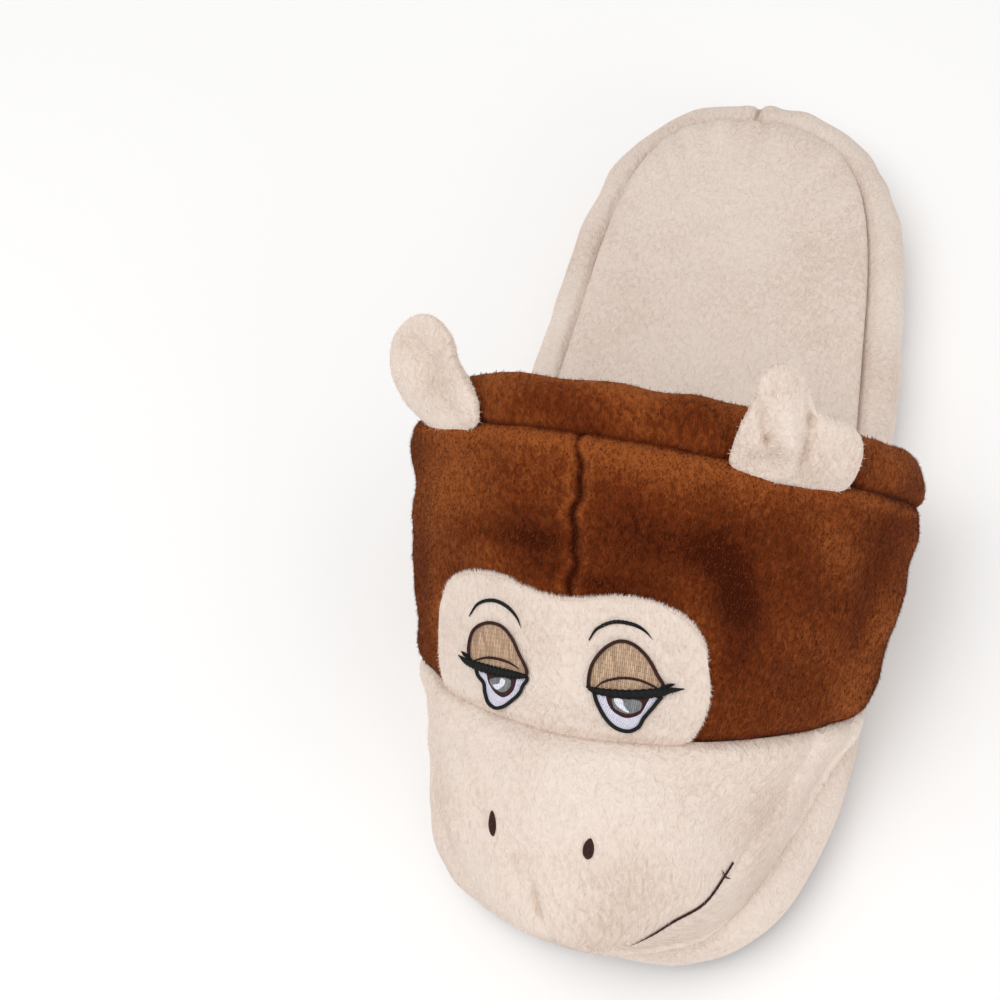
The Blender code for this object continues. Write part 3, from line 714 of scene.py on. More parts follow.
# Tone patches: partly the nap brushed the other way, partly painted shade in the dents and beside the patch
# and painted light on the raised places.
NAP_AND_SHADE_PATCHES = (
    # along, degrees, reach along, reach degrees, tone
    (0.800, 29.0, 0.050, 8.0, -0.75),
    (0.730, 36.0, 0.060, 6.0, -0.80),
    (0.620, 38.0, 0.070, 5.0, -0.45),
    (0.770, -14.0, 0.030, 13.0, -0.40),
    (0.830, -36.0, 0.150, 14.0, 0.40),
    (0.800, 6.0, 0.090, 15.0, -0.30),
    (0.970, 10.0, 0.030, 50.0, 0.35),
    (0.700, 6.0, 0.025, 14.0, -0.45),
    (0.950, 20.0, 0.060, 30.0, 0.35),
    (0.900, -30.0, 0.070, 14.0, 0.30),
    (0.680, 82.0, 0.120, 9.0, 0.60),
    (0.820, 74.0, 0.120, 5.0, -0.30),
    (0.870, 60.0, 0.060, 10.0, 0.15),
    (0.600, -40.0, 0.100, 6.0, 0.45),
)


def from_table(table, along, turn):
    """Sum of the table's round bumps."""
    return sum(row[4] * bump_at(along, turn, row[:2], row[2:4]) for row in table)


def forehead_half(side):
    """Grid from the centre seam down one flank and from the muzzle seam to the ridge, lifted by
    the pile, the seams' pull, the listed dents and fine unevenness, with a thin inner layer."""
    rows, columns = 112, 136
    share = np.linspace(0, 1, rows)[:, None]
    reach = np.linspace(0, 1, columns)[None, :] ** 1.35
    turn = side * reach * FOREHEAD_FROM_FLOOR + 0 * share
    seam = muzzle_seam(turn) + GAP / VAMP_LENGTH
    along = seam + (1 - seam) * np.sin(share * math.pi / 2)
    plain, outward, _ = upper_frame(along, turn)
    wander = 0.0006 * np.sin(along * 40) + 0.0004 * np.sin(along * 90 + 2)
    from_centre = np.linalg.norm(plain - upper_point(along, 0 * turn), axis=-1) + side * wander
    from_muzzle = (along - seam) * VAMP_LENGTH
    from_ridge = (1 - along) * VAMP_LENGTH
    visible = np.clip((along - 0.655) / 0.02, 0, 1)
    height = PILE_LIFT + seam_pull(from_centre, *CENTRE_SEAM) * visible
    height = height + seam_pull(from_muzzle, *CROSS_SEAM)
    height = height + seam_pull(from_ridge, *RIDGE_SEAM)
    height = height + from_table(FOREHEAD_DENTS, along, turn)
    height = height + uneven(plain, FOREHEAD_LUMPS)
    floorwards = np.clip((BASE_Z + 0.0012 - plain[..., 2]) / 0.004, 0, 1)
    middling = 1 - np.abs(turn - PATCH_CENTRE) / PATCH_HALF_TURN
    covered = np.clip(np.minimum(middling, (PATCH_TOP - PATCH_NOTCH - along) * 4) / 0.08 - 0.5, 0, 1)
    height = height * (1 - covered) - 0.0006 * covered
    outer = plain + outward * height[..., None]
    outer[..., 2] = np.maximum(outer[..., 2], BASE_Z + 0.0007)
    inner = plain - outward * PADDING_DEPTH
    inner[..., 2] = np.maximum(inner[..., 2], BASE_Z + 0.0004)
    # Tones: the patches above, random tone, painted shade in the centre, ridge and muzzle seams and low down
    # where the upper meets the band, and lighter strips just beside the centre and ridge seams.
    tones = from_table(NAP_AND_SHADE_PATCHES, along, turn) + 0.10 * soft_lumps(plain, 0.02, 23)
    tones = tones - 0.9 * bell(from_centre, 0.0006) * visible
    tones = tones + 0.35 * bell(from_centre - 0.0022, 0.0011) * visible
    tones = tones - 0.7 * bell(from_ridge, 0.0006) - 0.6 * bell(from_muzzle, 0.0008)
    tones = tones + 0.5 * bell(from_ridge - 0.0024, 0.0014) - 0.6 * floorwards
    cloth = np.stack([turn * 0.058, along * VAMP_LENGTH], -1)
    return outer, inner, cloth, tones


def slab(outer, inner, inside_out):
    """Points and faces of two equal open grids sewn together round their rim."""
    rows, columns = outer.shape[:2]
    shift = rows * columns
    quads = grid_faces(rows, columns, False)
    rim = list(range(columns))
    rim += [r * columns + columns - 1 for r in range(1, rows)]
    rim += [(rows - 1) * columns + c for c in range(columns - 2, -1, -1)]
    rim += [r * columns for r in range(rows - 2, 0, -1)]
    rim = np.array(rim)
    after = np.roll(rim, -1)
    sides = np.stack([after, rim, shift + rim, shift + after], -1)
    faces = np.concatenate([quads, shift + quads[:, ::-1], sides])
    points = np.concatenate([outer.reshape(-1, 3), inner.reshape(-1, 3)])
    return points, (faces[:, ::-1] if inside_out else faces).tolist()


def faces_inwards(outer, inner):
    """True where a grid's own winding points from its outer layer to its inner one."""
    middle = outer.shape[0] // 2, outer.shape[1] // 2
    here = outer[middle]
    ahead, aside = outer[middle[0] + 1, middle[1]] - here, outer[middle[0], middle[1] + 1] - here
    return np.cross(aside, ahead) @ (here - inner[middle]) < 0


def sewn_piece(name, layers, material):
    """Closed piece of cloth from its outer and inner grids, with cloth places and tones for both."""
    outer, inner, cloth, tones = layers
    points, faces = slab(outer, inner, faces_inwards(outer, inner))
    cloth = np.concatenate([cloth.reshape(-1, 2)] * 2)
    tones = np.concatenate([np.broadcast_to(tones, outer.shape[:2]).ravel()] * 2)
    return piece(name, points, faces, material, cloth, tones)


brown_velboa = plush("brown velboa", BROWN_TONES, BROWN_SHEEN, 1.0, sheen_weight=0.08, drifting=0.22)
for side, name in ((-1, "forehead_right"), (1, "forehead_left")):
    half = sewn_piece(name, forehead_half(side), brown_velboa)
    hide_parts("upper")

# Lining: the foot's side of the padded wall, cream velboa, from the cuff down to the top panel.
LINING_FROM_FLOOR = math.radians(128)


def wall_depth(along):
    """Thickness of the padded wall, which grows towards the collar."""
    return TOE_WALL + (COLLAR_WALL - TOE_WALL) * np.clip((along - 0.45) / 0.55, 0, 1) ** 1.5


def lining():
    """Grid from the toe to the collar on the wall's inner side, softly uneven, with a thin layer
    behind it."""
    rows, columns = 60, 150
    along = (0.06 + 0.94 * np.linspace(0, 1, rows) ** 1.3)[:, None]
    turn = np.linspace(-LINING_FROM_FLOOR, LINING_FROM_FLOOR, columns)[None, :]
    along, turn = np.broadcast_arrays(along, turn)
    plain, outward, _ = upper_frame(along, turn)
    lumps = 0.0005 * soft_lumps(plain, 0.022, 31)
    depth = wall_depth(along)
    foot_side = plain - outward * (depth + lumps * 0.5)[..., None]
    wall_side = plain - outward * (depth - PADDING_DEPTH)[..., None]
    for layer in (foot_side, wall_side):
        layer[..., 2] = np.maximum(layer[..., 2], BASE_Z + INSOLE_THICKNESS * 0.5)
    cloth = np.stack([turn * 0.05, along * VAMP_LENGTH], -1)
    # Tones: random, and darker overall inside the wall: painted shade.
    return foot_side, wall_side, cloth, 0.2 * soft_lumps(plain, 0.03, 32) - 0.2


lining_piece = sewn_piece("lining", lining(), cream_velboa)
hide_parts("upper")

# Cuff: a strip of the brown velboa sewn in the ridge seam, rolled back over the padded end of the
# wall and down to the lining.
CUFF_THICKNESS = 0.0016
CUFF_GATHER, CUFF_CREASE = 0.0005, 0.0006
LOW_CUFF_SHARE, LOW_CUFF_DEGREES, LOW_CUFF_REACH = 0.50, -52, 18


def collar_roll(turn, angle, lift):
    """Padded end of the wall: half an ellipse from the ridge seam (90 deg) to the lining (-90)."""
    ridge, outward, back = upper_frame(np.ones_like(turn), turn)
    lower = 1 - LOW_CUFF_SHARE * bell(np.degrees(turn) - LOW_CUFF_DEGREES, LOW_CUFF_REACH)
    behind = COLLAR_ROLL * (lower * np.cos(angle))[..., None]
    depth = (COLLAR_WALL / 2 * (np.sin(angle) - 1))[..., None]
    over = np.cos(angle)[..., None] * back + np.sin(angle)[..., None] * outward
    return ridge + behind * back + depth * outward + np.asarray(lift)[..., None] * over


def cuff():
    """Grid round the collar and over its roll, puffed between its two seams, with gathers where
    the strip is eased round the crown."""
    rows, columns = 46, 300
    angle = np.radians(np.linspace(96, -92, rows))[:, None]
    turn = np.linspace(-FOREHEAD_FROM_FLOOR, FOREHEAD_FROM_FLOOR, columns)[None, :]
    angle, turn = np.broadcast_arrays(angle, turn)
    rest = np.linspace(0, 1, rows)[:, None]
    plain = collar_roll(turn, angle, np.zeros_like(turn))
    length = turn * 0.055
    gathers = CUFF_GATHER * np.sin(length / 0.0042 + 2 * np.sin(length / 0.017)) * bell(rest, 0.16)
    creases = CUFF_CREASE * np.sin(length / 0.0085 + 1.5 * np.sin(length / 0.03)) * bell(rest - 0.75, 0.2)
    puff = 0.0004 * np.sin(math.pi * rest) - 0.0016 * bell(rest, 0.05)
    lumps = 0.0003 * soft_lumps(plain, 0.016, 41)
    outer = collar_roll(turn, angle, puff + gathers + creases + lumps)
    inner = collar_roll(turn, angle, np.full_like(turn, -CUFF_THICKNESS))
    for layer, floor_z in ((outer, BASE_Z + 0.0012), (inner, BASE_Z + 0.0008)):
        layer[..., 2] = np.maximum(layer[..., 2], floor_z)
    # Painted shade in the ridge seam and painted light along the middle of the roll, its crest; plus random
    # tone.
    tones = -0.8 * bell(rest, 0.03) + 0.15
    tones = tones + 0.45 * bell(rest - 0.5, 0.18) + 0.15 * soft_lumps(plain, 0.02, 42)
    cloth = np.stack([length, rest * 0.03 + 0 * length], -1)
    return outer, inner, cloth, tones


cuff_piece = sewn_piece("cuff_strip", cuff(), brown_velboa)
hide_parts("cuff")

# Muzzle: one cream panel drawn over the toe by a dart at its tip, sewn to the forehead and patch
# behind and to the band below.
MUZZLE_LIFT = 0.0011
MUZZLE_FROM_FLOOR = math.radians(179)
DART_DEGREES = -6.0
DART_SEAM = (0.0012, 0.0010, 0.0005)
MUZZLE_SEAM = (0.0012, 0.0011, 0.0008)
POLE_REACH = 0.006
MUZZLE_LUMPS = ((0.00025, 0.013, 51), (0.00035, 0.03, 52))
MUZZLE_DENTS = (
    # along, degrees, reach along, reach degrees, height in metres
    (0.430, -62.0, 0.140, 20.0, -0.0022),
    (0.115, -7.0, 0.016, 5.0, -0.0011),
    (0.125, 4.0, 0.012, 9.0, -0.0005),
    (0.080, -15.0, 0.030, 5.0, -0.0008),
    (0.240, -20.0, 0.050, 5.0, -0.0007),
    (0.300, 10.0, 0.050, 16.0, 0.0007),
    (0.180, 44.0, 0.070, 9.0, 0.0007),
    (0.320, 62.0, 0.060, 9.0, -0.0006),
    (0.300, -45.0, 0.080, 8.0, -0.0007),
    (0.180, 78.0, 0.080, 6.0, -0.0007),
)
# Tones that darken the muzzle in its dents, by the dart and on its side away from the light, and lighten its
# raised top: painted shade and light.
MUZZLE_TONES = (
    # along, degrees, reach along, reach degrees, tone
    (0.300, 10.0, 0.080, 20.0, 0.25),
    (0.150, 50.0, 0.080, 22.0, -0.15),
    (0.330, 70.0, 0.080, 12.0, -0.30),
    (0.120, -12.0, 0.020, 6.0, -0.35),
    (0.250, -24.0, 0.060, 5.0, -0.25),
)


def muzzle_height(along, turn, plain):
    """Height of the muzzle's pile over the upper's form, without its seams."""
    settled = np.clip(along / 0.04, 0, 1)
    lumps = uneven(plain, MUZZLE_LUMPS)
    return MUZZLE_LIFT + (from_table(MUZZLE_DENTS, along, turn) + lumps) * settled


def muzzle():
    """Grid from the toe's pole to the cross seam: puffed behind the seam, pulled in along the dart
    and at the listed dents."""
    rows, columns = 112, 260
    share = (1 - np.cos(np.linspace(0, math.pi / 2, rows) * 0.999 + 0.001))[:, None] ** 0.82
    share = share / share.max()
    turn = np.linspace(-MUZZLE_FROM_FLOOR, MUZZLE_FROM_FLOOR, columns)[None, :]
    share, turn = np.broadcast_arrays(share, turn)
    end = muzzle_seam(turn) - GAP / VAMP_LENGTH
    along = np.maximum(share * end, 1e-7)
    tucked = np.clip((share - 0.985) / 0.015, 0, 1)
    along = along + tucked * 0.004
    plain, outward, _ = upper_frame(along, turn)
    off_pole = np.clip(along / POLE_REACH, 0, 1)[..., None] ** 0.5
    outward = unit(outward * off_pole + np.array([0.0, -1.0, 0.0]) * (1 - off_pole))
    from_seam = (end - along) * VAMP_LENGTH
    height = muzzle_height(along, turn, plain) + seam_pull(from_seam, *MUZZLE_SEAM) - 0.0006 * tucked
    ring = np.linalg.norm(plain - upper_point(along, turn + 0.3), axis=-1) / 0.3
    from_dart = np.radians(np.degrees(turn) - DART_DEGREES) * ring
    dart = np.clip((0.105 - along) / 0.04, 0, 1) * np.clip((along - 0.012) / 0.02, 0, 1)
    height = height + seam_pull(from_dart, *DART_SEAM) * dart
    outer = plain + outward * height[..., None]
    inner = plain + outward * np.minimum(height - 0.0009, -0.0006)[..., None]
    outer[..., 2] = np.maximum(outer[..., 2], BASE_Z - 0.0006)
    inner[..., 2] = np.maximum(inner[..., 2], BASE_Z - 0.0010)
    # Painted shade: darker in the cross seam, in the dart and low down where the muzzle meets the band,
    # besides the table's painted shade and light and random tone.
    floorwards = np.clip((BASE_Z + 0.0025 - plain[..., 2]) / 0.003, 0, 1)
    tones = from_table(MUZZLE_TONES, along, turn) + 0.12 * soft_lumps(plain, 0.025, 53)
    tones = tones - 0.5 * bell(from_seam, 0.0007) - 0.7 * floorwards
    tones = tones - 0.5 * bell(from_dart, 0.0007) * dart
    cloth = np.stack([turn * np.minimum(ring, 0.058), along * VAMP_LENGTH], -1)
    return outer, inner, cloth, tones


muzzle_piece = sewn_piece("muzzle_panel", muzzle(), cream_velboa)
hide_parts("muzzle")

# Face patch: cream velboa with a looser pile, cut with round corners and a dip at the middle, laid
# on the forehead and sewn down round its edge, where the pile stands out over the brown.
PATCH_SEAM = (0.0010, 0.0009, 0.0002)
PATCH_ROLL = 0.0022
PATCH_LUMPS = ((0.00015, 0.012, 61), (0.0002, 0.024, 62))


def patch_place(across, up):
    """(along, turn) of a place on the patch: across from -1 to 1, up from the muzzle seam (0) to
    the top edge (1), whose corners are superelliptic and whose middle dips."""
    turn = PATCH_CENTRE + across * (PATCH_HALF_TURN + PATCH_SWELL * np.sin(math.pi * up))
    notch = PATCH_NOTCH * bell(across - PATCH_NOTCH_PLACE, PATCH_NOTCH_WIDTH)
    corner = np.clip(1 - np.abs(across) ** 5, 0, 1) ** 0.45
    top = PATCH_CORNER + (PATCH_TOP - notch - PATCH_CORNER) * corner
    bottom = muzzle_seam(turn) + GAP / VAMP_LENGTH
    return bottom + up * (top - bottom), turn


def face_patch():
    """Grid over the patch whose rim rolls down to the forehead, softly uneven inside."""
    rows, columns = 84, 170
    across = np.sin(np.linspace(-1, 1, columns) * math.pi / 2)[None, :]
    up = np.linspace(0, 1, rows)[:, None]
    across, up = np.broadcast_arrays(across, up)
    along, turn = patch_place(across, up)
    along = along - 0.013 * (1 - up) ** 3
    plain, outward, _ = upper_frame(along, turn)
    from_side = (1 - np.abs(across)) * 0.036
    from_top = (1 - up) * 0.026
    from_rim = np.minimum(from_side, from_top)
    rolled = np.sqrt(np.clip(1 - (1 - np.clip(from_rim / PATCH_ROLL, 0, 1)) ** 2, 0, 1))
    from_seam = (along - muzzle_seam(turn)) * VAMP_LENGTH
    height = PILE_LIFT + (PATCH_LIFT - PILE_LIFT) * rolled + seam_pull(from_seam, *PATCH_SEAM)
    height = height + uneven(plain, PATCH_LUMPS) - 0.0030 * np.clip(-from_seam / 0.0013, 0, 1) ** 1.5
    outer = plain + outward * height[..., None]
    inner = plain + outward * (np.minimum(height - 0.0007, 0.0))[..., None]
    # Random tone, and painted shade in the muzzle seam.
    tones = 0.1 * soft_lumps(plain, 0.02, 63) - 0.3 * bell(from_seam, 0.0006)
    cloth = np.stack([turn * 0.058, along * VAMP_LENGTH], -1)
    return outer, inner, cloth, tones


patch_piece = sewn_piece("patch", face_patch(), cream_velboa)
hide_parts("face_patch")

# Embroidery: satin-stitched eyelids, eyes and nostrils, their corded outlines, the lashes, brows
# and mouth, all in coloured thread drawn tight into the pile.
EYE_LIDS = (
    # (along, degrees) round each lid
    (
        (0.498, 4.4), (0.541, 4.6), (0.577, 6.7), (0.600, 9.8), (0.602, 13.0), (0.585, 16.4),
        (0.556, 19.3), (0.526, 21.2), (0.501, 13.3), (0.494, 7.0),
    ),
    (
        (0.506, -25.6), (0.540, -26.0), (0.573, -24.1), (0.591, -19.8), (0.590, -15.6), (0.572, -12.7),
        (0.543, -10.9), (0.497, -9.0), (0.495, -17.6), (0.502, -23.5),
    ),
)
EYE_WHITES = (
    (
        (0.496, 5.2), (0.489, 5.6), (0.468, 6.6), (0.439, 9.0), (0.421, 12.0), (0.419, 15.2),
        (0.434, 17.3), (0.459, 18.1), (0.483, 19.5), (0.500, 20.5), (0.515, 21.0), (0.505, 16.0),
        (0.498, 10.0),
    ),
    (
        (0.503, -24.4), (0.497, -23.9), (0.482, -23.3), (0.466, -21.4), (0.445, -20.9), (0.421, -19.6),
        (0.411, -17.2), (0.416, -14.6), (0.438, -12.0), (0.455, -10.5), (0.472, -9.8), (0.492, -8.7),
        (0.497, -12.0), (0.499, -18.0),
    ),
)
IRIS_RINGS = (
    (
        (0.500, 7.9), (0.489, 8.1), (0.469, 9.1), (0.454, 11.1), (0.449, 14.1), (0.464, 16.9),
        (0.489, 18.1), (0.510, 18.4), (0.505, 14.0),
    ),
    (
        (0.500, -21.0), (0.489, -20.6), (0.467, -19.8), (0.446, -17.6), (0.438, -14.9), (0.456, -12.4),
        (0.488, -11.4), (0.498, -11.6), (0.500, -16.0),
    ),
)
PUPILS = (
    (
        (0.486, 9.9), (0.475, 10.0), (0.463, 11.0), (0.459, 14.1), (0.474, 16.8), (0.491, 16.9),
        (0.495, 15.3), (0.491, 12.5),
    ),
    (
        (0.477, -19.2), (0.465, -19.0), (0.455, -17.7), (0.450, -15.1), (0.463, -13.2), (0.480, -12.9),
        (0.486, -14.2), (0.484, -16.6),
    ),
)
GLINTS = (
    ((0.486, 10.3), (0.488, 12.2), (0.476, 12.8), (0.463, 14.4), (0.464, 12.8), (0.473, 11.0)),
    ((0.478, -14.4), (0.483, -15.6), (0.470, -16.0), (0.464, -18.0), (0.455, -16.8), (0.464, -15.0)),
)
LID_FOLDS = (
    ((0.500, 5.8), (0.517, 7.7), (0.531, 11.3), (0.535, 15.4), (0.529, 19.3), (0.524, 20.2)),
    ((0.511, -24.8), (0.522, -19.8), (0.520, -14.4), (0.509, -10.8)),
)
LASHES = (
    ((0.499, 3.9), (0.494, 6.8), (0.501, 13.3), (0.520, 20.4), (0.529, 22.8), (0.540, 26.4)),
    ((0.521, -29.6), (0.507, -25.8), (0.497, -18.6), (0.494, -12.0), (0.495, -8.7)),
)
LASH_TIPS = ((0.25, 0.12), (0.12, 0.4))
LASH_HAIRS = (
    ((0.528, 20.6), (0.538, 22.4), (0.545, 24.0)),
    ((0.513, -25.2), (0.522, -26.8), (0.530, -28.6)),
)
BROWS = (
    ((0.591, 3.8), (0.616, 5.4), (0.635, 8.8), (0.638, 12.7), (0.631, 15.5), (0.617, 17.6)),
    ((0.600, -25.4), (0.626, -22.1), (0.636, -17.6), (0.629, -13.9), (0.611, -11.2), (0.590, -9.9)),
)
NOSTRILS = (
    (
        (0.191, 14.8), (0.184, 13.4), (0.170, 12.7), (0.155, 13.2), (0.148, 15.0), (0.157, 16.6),
        (0.176, 16.4),
    ),
    (
        (0.198, -18.8), (0.188, -20.4), (0.172, -21.9), (0.157, -21.9), (0.153, -20.4), (0.168, -18.4),
        (0.188, -17.9),
    ),
)
MOUTH = (
    (0.249, 69.0), (0.222, 68.8), (0.190, 68.7), (0.157, 68.6), (0.130, 68.2), (0.104, 68.4),
    (0.075, 69.6), (0.054, 71.5), (0.036, 77.0),
)
MOUTH_CROSS = ((0.226, 65.8), (0.219, 69.0), (0.221, 72.0))
LID_THREAD = (0.37, 0.25, 0.165)
WHITE_THREAD = (0.70, 0.68, 0.80)
DARK_BROWN_THREAD = (0.030, 0.007, 0.005)
BLACK_THREAD = (0.0030, 0.0034, 0.0034)
GREY_THREAD = (0.17, 0.175, 0.18)
GLINT_THREAD = (0.80, 0.82, 0.88)
SATIN_LIFT = 0.0005
PLAIN_TIPS = (0.35, 0.35)
DEGREE_LENGTH = 0.00098


def thread(name, colour, stitch, strand_width, light):
    """Satin thread: strands side by side as bricks whose length is a stitch, each darker at its
    edges and so a little lighter along its middle (painted shade between the strands), and
    glossier than the pile round it."""
    material = matt(name, colour, 0.5, 0.22)
    nodes, links = material.node_tree.nodes, material.node_tree.links
    cloth = nodes.new("ShaderNodeUVMap")
    cloth.uv_map = "fabric"
    rows = nodes.new("ShaderNodeTexBrick")
    rows.inputs["Scale"].default_value = 1
    rows.inputs["Brick Width"].default_value = stitch
    rows.inputs["Row Height"].default_value = strand_width
    rows.inputs["Mortar Size"].default_value = strand_width * 0.12
    rows.inputs["Mortar Smooth"].default_value = 1.0
    rows.inputs["Color1"].default_value = (*colour, 1)
    rows.inputs["Color2"].default_value = (*[min(1, c * light) for c in colour], 1)
    # Mortar darker than the thread: painted shade between the strands.
    rows.inputs["Mortar"].default_value = (*[c * 0.62 for c in colour], 1)
    links.new(cloth.outputs["UV"], rows.inputs["Vector"])
    links.new(rows.outputs["Color"], nodes["Principled BSDF"].inputs["Base Color"])
    bumped(material, rows.outputs["Fac"], 0.8, strand_width * 0.4, invert=True)
    return material


def closed_rings(rings):
    """Points and faces of a ring stack whose ends close on their own middles, faces outwards."""
    levels, count = rings.shape[:2]
    faces = grid_faces(levels, count, True).tolist()
    low, high = levels * count, levels * count + 1
    last = (levels - 1) * count
    for k in range(count):
        n = (k + 1) % count
        faces.append((n, k, low))
        faces.append((last + k, last + n, high))
    points = np.concatenate([rings.reshape(-1, 3), [rings[0].mean(0)], [rings[-1].mean(0)]])
    triangles = np.array([(a, b, c) for a, b, c, *_ in faces])
    a, b, c = np.moveaxis(points[triangles], 1, 0)
    volume = (a * np.cross(b, c)).sum()
    return points, [face[::-1] for face in faces] if volume < 0 else faces


def smooth_line(points, steps, closed=False):
    """Smooth curve through a few points, evenly stepped, with the points' own slopes."""
    points = np.asarray(points, float)
    if closed:
        points = np.vstack([points[-2:], points, points[:2]])
    places = np.arange(len(points))
    start, end = (2, len(points) - 2) if closed else (0, len(points) - 1)
    at = np.linspace(start, end, steps, endpoint=not closed)
    return np.stack([smooth_table(places, points[:, k], at) for k in (0, 1)], -1)


def embroidered(along, degrees, lift, base):
    """Point over the face at a lift above the patch (or the muzzle), in (along, degrees)."""
    turn = np.radians(degrees)
    plain, outward, _ = upper_frame(along, turn)
    height = base(along, turn, plain) + lift
    return plain + outward * height[..., None]


def over_patch(along, turn, plain):
    """Pile height under a stitch on the patch, and on the muzzle just below the seam."""
    below = np.clip((muzzle_seam(turn) + 0.004 - along) / 0.008, 0, 1)
    on_patch = PATCH_LIFT + uneven(plain, PATCH_LUMPS)
    return on_patch * (1 - below) + muzzle_height(along, turn, plain) * below


def satin(name, outline, material, lift, thickness, base=over_patch, slant=0.0):
    """Filled satin stitch: rings that shrink from a closed outline to its middle, domed by a
    sixth-power falloff on top and flat beneath."""
    edge = smooth_line(outline, 110, closed=True)
    middle = edge.mean(0)
    rounded, below = np.cos(np.linspace(0.4, 0, 5)), np.cos(np.linspace(0.1, 0.5, 3))
    shares = np.concatenate([np.linspace(0.02, 0.9, 12), rounded, below])
    top = np.arange(len(shares)) < 17
    rings = middle + (edge - middle)[None] * shares[:, None, None]
    dome = np.where(top, thickness * (1 - np.minimum(shares, 1) ** 6) ** 0.5, -0.0004)[:, None]
    along, degrees = rings[..., 0], rings[..., 1]
    points = embroidered(along, degrees, lift + dome + 0 * along, base)
    u, v = (along - middle[0]) * VAMP_LENGTH, (degrees - middle[1]) * DEGREE_LENGTH
    c, d = math.cos(slant), math.sin(slant)
    cloth = np.stack([u * c + v * d + 0.05, v * c - u * d + 0.05], -1).reshape(-1, 2)
    solid, faces = closed_rings(points)
    cloth = np.concatenate([cloth, cloth[:1], cloth[-1:]])
    return piece(name, solid, faces, material, cloth)


def cord(name, line, material, width, lift=0.0006, base=over_patch, closed=False, tips=None, steps=None):
    """Stitched line: a flattened round cord along a smooth curve, its width swelling from the
    first tip's share to 1 and back to the last one's."""
    steps = steps or (220 if closed else 110)
    path = smooth_line(line, steps, closed)
    share = np.linspace(0, 1, steps)[:, None]
    swell = 1.0
    if not closed:
        for tip, from_tip in zip(tips or PLAIN_TIPS, (share, 1 - share)):
            swell = swell * (tip + (1 - tip) * np.sin(math.pi / 2 * np.clip(from_tip / 0.45, 0, 1)))
        swell = swell * (1 + 0.10 * np.sin(share * steps * 1.3))
    spine = embroidered(path[:, 0], path[:, 1], np.full(steps, lift), base)
    step = np.roll(spine, -1, 0) - np.roll(spine, 1, 0) if closed else np.gradient(spine, axis=0)
    ahead = unit(step)
    _, outward, _ = upper_frame(path[:, 0], np.radians(path[:, 1]))
    aside = unit(np.cross(ahead, outward))
    angle = np.linspace(0, 2 * math.pi, 12, endpoint=False)[None, :]
    out = (np.cos(angle) * width / 2 * swell)[..., None] * aside[:, None]
    high = (np.sin(angle) * width / 3 * swell)[..., None] * outward[:, None]
    rings = spine[:, None] + out + high
    length = np.concatenate([[0], np.cumsum(np.linalg.norm(np.diff(spine, axis=0), axis=1))])
    cloth = np.stack([angle * 0.0009 + 0 * share, length[:, None] + angle * 0.0002], -1).reshape(-1, 2)
    if closed:
        rings = np.concatenate([rings, rings[:1]])
        solid = rings[:-1].reshape(-1, 3)
        faces = grid_faces(len(rings), 12, True) % len(solid)
        return piece(name, solid, faces[:, ::-1].tolist(), material, cloth)
    solid, faces = closed_rings(rings)
    cloth = np.concatenate([cloth, cloth[:1], cloth[-1:]])
    return piece(name, solid, faces, material, cloth)


lid_thread = thread("lid thread", LID_THREAD, 0.0019, 0.00046, 1.7)
white_thread = thread("white thread", WHITE_THREAD, 0.003, 0.0005, 1.1)
brown_thread = thread("dark brown thread", DARK_BROWN_THREAD, 0.0016, 0.0005, 1.8)
black_thread = thread("black thread", BLACK_THREAD, 0.0016, 0.0005, 2.2)
grey_thread = thread("grey thread", GREY_THREAD, 0.0024, 0.0005, 1.5)
glint_thread = thread("glint thread", GLINT_THREAD, 0.0024, 0.0005, 1.1)
for k, side in enumerate(("right", "left")):
    satin(side + "_eye_white", EYE_WHITES[k], white_thread, 0.0, SATIN_LIFT, slant=0.3)
    satin(side + "_eye_lid", EYE_LIDS[k], lid_thread, 0.0001, SATIN_LIFT)
    satin(side + "_eye_iris", IRIS_RINGS[k], brown_thread, 0.0003, SATIN_LIFT)
    satin(side + "_eye_pupil", PUPILS[k], grey_thread, 0.0006, SATIN_LIFT)
    satin(side + "_eye_glint", GLINTS[k], glint_thread, 0.0010, 0.0003)
    cord(side + "_eye_edge", EYE_WHITES[k], black_thread, 0.0009, closed=True)
    cord(side + "_lid_edge", EYE_LIDS[k], brown_thread, 0.0008, lift=0.0007, closed=True)
    cord(side + "_lid_fold", LID_FOLDS[k], brown_thread, 0.0006, lift=0.0008)
    cord(side + "_lash", LASHES[k], black_thread, 0.0021, lift=0.0010, tips=LASH_TIPS[k])
    cord(side + "_lash_hair", LASH_HAIRS[k], black_thread, 0.0009, lift=0.0010, tips=(0.9, 0.1))
    cord(side + "_brow", BROWS[k], black_thread, 0.0009, lift=0.0003, tips=(0.35, 0.05))
    satin(side + "_nostril", NOSTRILS[k], brown_thread, 0.0, 0.0006, base=muzzle_height, slant=0.2)
cord("mouth", MOUTH, brown_thread, 0.0007, lift=0.0003, base=muzzle_height, tips=(0.8, 0.15))
cord("mouth_cross", MOUTH_CROSS, brown_thread, 0.0004, 0.0005, muzzle_height, tips=(0.3, 0.3), steps=40)

